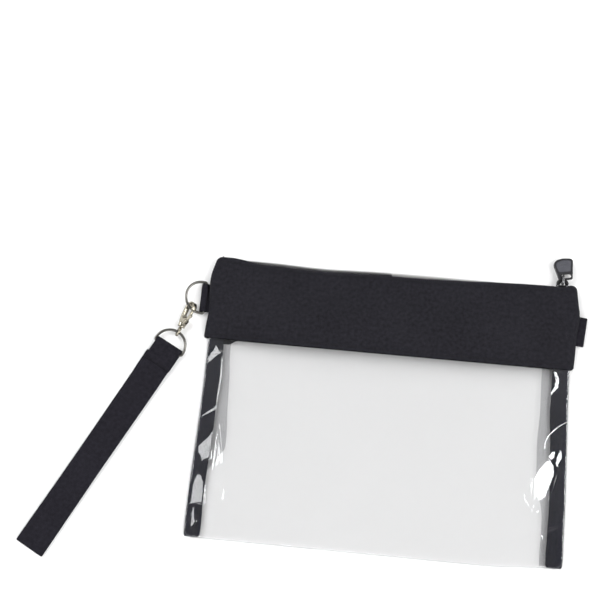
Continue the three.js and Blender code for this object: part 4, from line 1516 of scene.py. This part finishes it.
def build_strap():
    cover_route = [(COVER_END, 1.62), (COVER_END * 0.7, 1.66), (3.0, 1.62)]
    cover_route += arc_points((-COVER_SLACK, 0), 1.55, 90, 270, 26)
    cover_route += [(3.0, -1.58), (COVER_END * 0.7, -1.6), (COVER_END, -1.6)]
    cover = in_strap(ribbon("strap_cover_webbing", cover_route, TAB_WIDTH + 0.5, 0.85))
    fix_to(cover, "wrist_strap", "black_webbing", "strap_end_cover")

    floor = 0.55 - strap_bar[2]
    along = np.concatenate([np.linspace(STRAP_START, 30, 22), np.linspace(32, STRAP_END - 2.2, 60)])
    drop = smoothstep(along, COVER_END, COVER_END + 15)
    ripple = 0.16 * np.sin(along / 11.0) + 0.1 * np.sin(along / 4.7 + 1.0)
    lower = -0.5 + (floor + 0.5) * drop
    upper = 0.5 + (floor + 0.5) * drop + (0.25 + ripple) * smoothstep(along, 20, 60) * 0.8
    skew = 0.62 - 0.85 * along / STRAP_END
    end_z = (lower[-1] + upper[-1]) / 2
    radius = (upper[-1] - lower[-1]) / 2
    fold = arc_points((along[-1], end_z), radius, -80, 80, 9)
    route = list(zip(along, lower)) + fold + list(zip(along[::-1], upper[::-1]))
    shift = np.concatenate([skew, np.linspace(skew[-1], -skew[-1], len(fold)), -skew[::-1]]) + STRAP_SHIFT
    loop = in_strap(ribbon("wrist_loop_webbing", route, STRAP_WEBBING, 0.95, shift))
    fix_to(loop, "wrist_strap", "black_webbing", "wrist_strap_loop")
    return loop


strap_loop = build_strap()

# ------------------------------------------------------------------ the zip's stops

STOP_BEVEL = 0.22
STOP_MOUTH = 0.28  # share of a stop's height that its two legs leave open for the tape's edge


def build_stops():
    """Crimped metal stops round the tapes' edges."""
    for name in ("zip_bottom_stop", "back_zip_top_stop", "front_zip_top_stop"):
        low, high = node_box(name)
        length, depth, height = high - low
        mouth = STOP_MOUTH * height / 2
        outline = [(-depth / 2, mouth), (-depth / 2, height / 2)]
        outline += [(depth * 0.25, height / 2), (depth / 2, height * 0.2)]
        outline += [(x, -y) for x, y in outline[::-1]]
        outline += [(depth * 0.05, -mouth), (depth * 0.05, mouth)]
        stop = rounded_plate(name.replace("zip", "crimped"), outline, length, STOP_BEVEL)
        place(stop, (low + high) / 2, (0, 1, 0), (0, 0, 1))
        dress(stop, black_lacquer)
        if name.startswith("front"):
            hang_between({"right": stop}, "slider_metal", name)
        else:
            fix_to(stop, "bag", "slider_metal", name)


build_stops()

# ------------------------------------------------------------------ floor, lights, camera


FLOOR_HALF = 3.0  # metres
FLOOR_Z = -0.0004


def build_floor():
    mesh = bpy.data.meshes.new("floor")
    corners = [(-1, -1), (1, -1), (1, 1), (-1, 1)]
    mesh.from_pydata([(x * FLOOR_HALF, y * FLOOR_HALF, FLOOR_Z) for x, y in corners], [], [(0, 1, 2, 3)])
    floor = add_object("floor", mesh)
    n = Nodes("floor_paper")
    shader = n.add("ShaderNodeBsdfPrincipled")
    shader.inputs["Base Color"].default_value = colour(0.92, 0.92, 0.92)
    shader.inputs["Roughness"].default_value = 0.9
    shader.inputs["Specular IOR Level"].default_value = 0.1
    n.surface(shader.outputs[0])
    floor.data.materials.append(n.material)


def area_light(name, place_at, size, power):
    """A rectangular light that faces the pouch's middle."""
    data = bpy.data.lights.new(name, "AREA")
    data.shape = "RECTANGLE"
    data.size, data.size_y = size
    data.energy = power
    light = add_object(name, data)
    light.location = place_at
    light.rotation_euler = (-Vector(place_at)).to_track_quat("-Z", "Y").to_euler()
    return light


def build_world():
    """A sky that is bright round the horizon and dim overhead."""
    world = bpy.data.worlds.new("studio")
    bpy.context.scene.world = world
    world.use_nodes = True
    tree = world.node_tree
    tree.nodes.clear()
    output = tree.nodes.new("ShaderNodeOutputWorld")
    background = tree.nodes.new("ShaderNodeBackground")
    direction = tree.nodes.new("ShaderNodeTexCoord")
    parts = tree.nodes.new("ShaderNodeSeparateXYZ")
    tree.links.new(direction.outputs["Generated"], parts.inputs[0])
    ramp = tree.nodes.new("ShaderNodeMapRange")
    ramp.inputs["From Min"].default_value = 0.35
    ramp.inputs["From Max"].default_value = 0.95
    ramp.inputs["To Min"].default_value = 1.0
    ramp.inputs["To Max"].default_value = 0.22
    tree.links.new(parts.outputs["Z"], ramp.inputs["Value"])
    tree.links.new(ramp.outputs["Result"], background.inputs["Strength"])
    tree.links.new(background.outputs[0], output.inputs[0])


def build_camera():
    """Above the pouch, leaning a little from the bottom fold's side."""
    data = bpy.data.cameras.new("camera")
    camera = add_object("camera", data)
    data.sensor_width = 36.0
    data.lens = 73.85
    data.clip_start = 0.01
    place_at = np.array([-0.0213, -0.1280, 0.8295])
    back = unit((0.04902, -0.23367, 0.97108))
    right = unit(np.cross((-0.08809, 0.96745, 0.23725), back))
    up = np.cross(back, right)
    matrix = Matrix([list(row) for row in np.array([right, up, back]).T]).to_4x4()
    matrix.translation = Vector(place_at)
    camera.matrix_world = matrix
    bpy.context.scene.camera = camera


def soft_light(*settings):
    """Lights the scene but isn't seen in glossy surfaces."""
    area_light(*settings).visible_glossy = False


def glint_light(*settings):
    """Seen only in glossy surfaces, as a studio's strip lights are."""
    area_light(*settings).visible_diffuse = False


build_floor()
build_world()
soft_light("soft_left", (-1.1, 0.5, 1.25), (1.0, 1.2), 21)
soft_light("soft_right", (1.0, -0.1, 1.3), (0.8, 1.2), 19)
soft_light("soft_front", (0.0, -1.3, 0.9), (1.6, 0.7), 9)
glint_light("glint_left", (-1.2, 0.25, 0.75), (1.1, 0.6), 14)
glint_light("glint_right", (1.3, 0.1, 0.8), (1.0, 0.5), 26)
glint_light("glint_top", (0.2, 1.5, 0.75), (1.2, 0.3), 3)
glint_light("glint_front", (-0.3, -1.4, 0.6), (1.0, 0.3), 6)
build_camera()
bpy.context.scene.view_settings.view_transform = "Standard"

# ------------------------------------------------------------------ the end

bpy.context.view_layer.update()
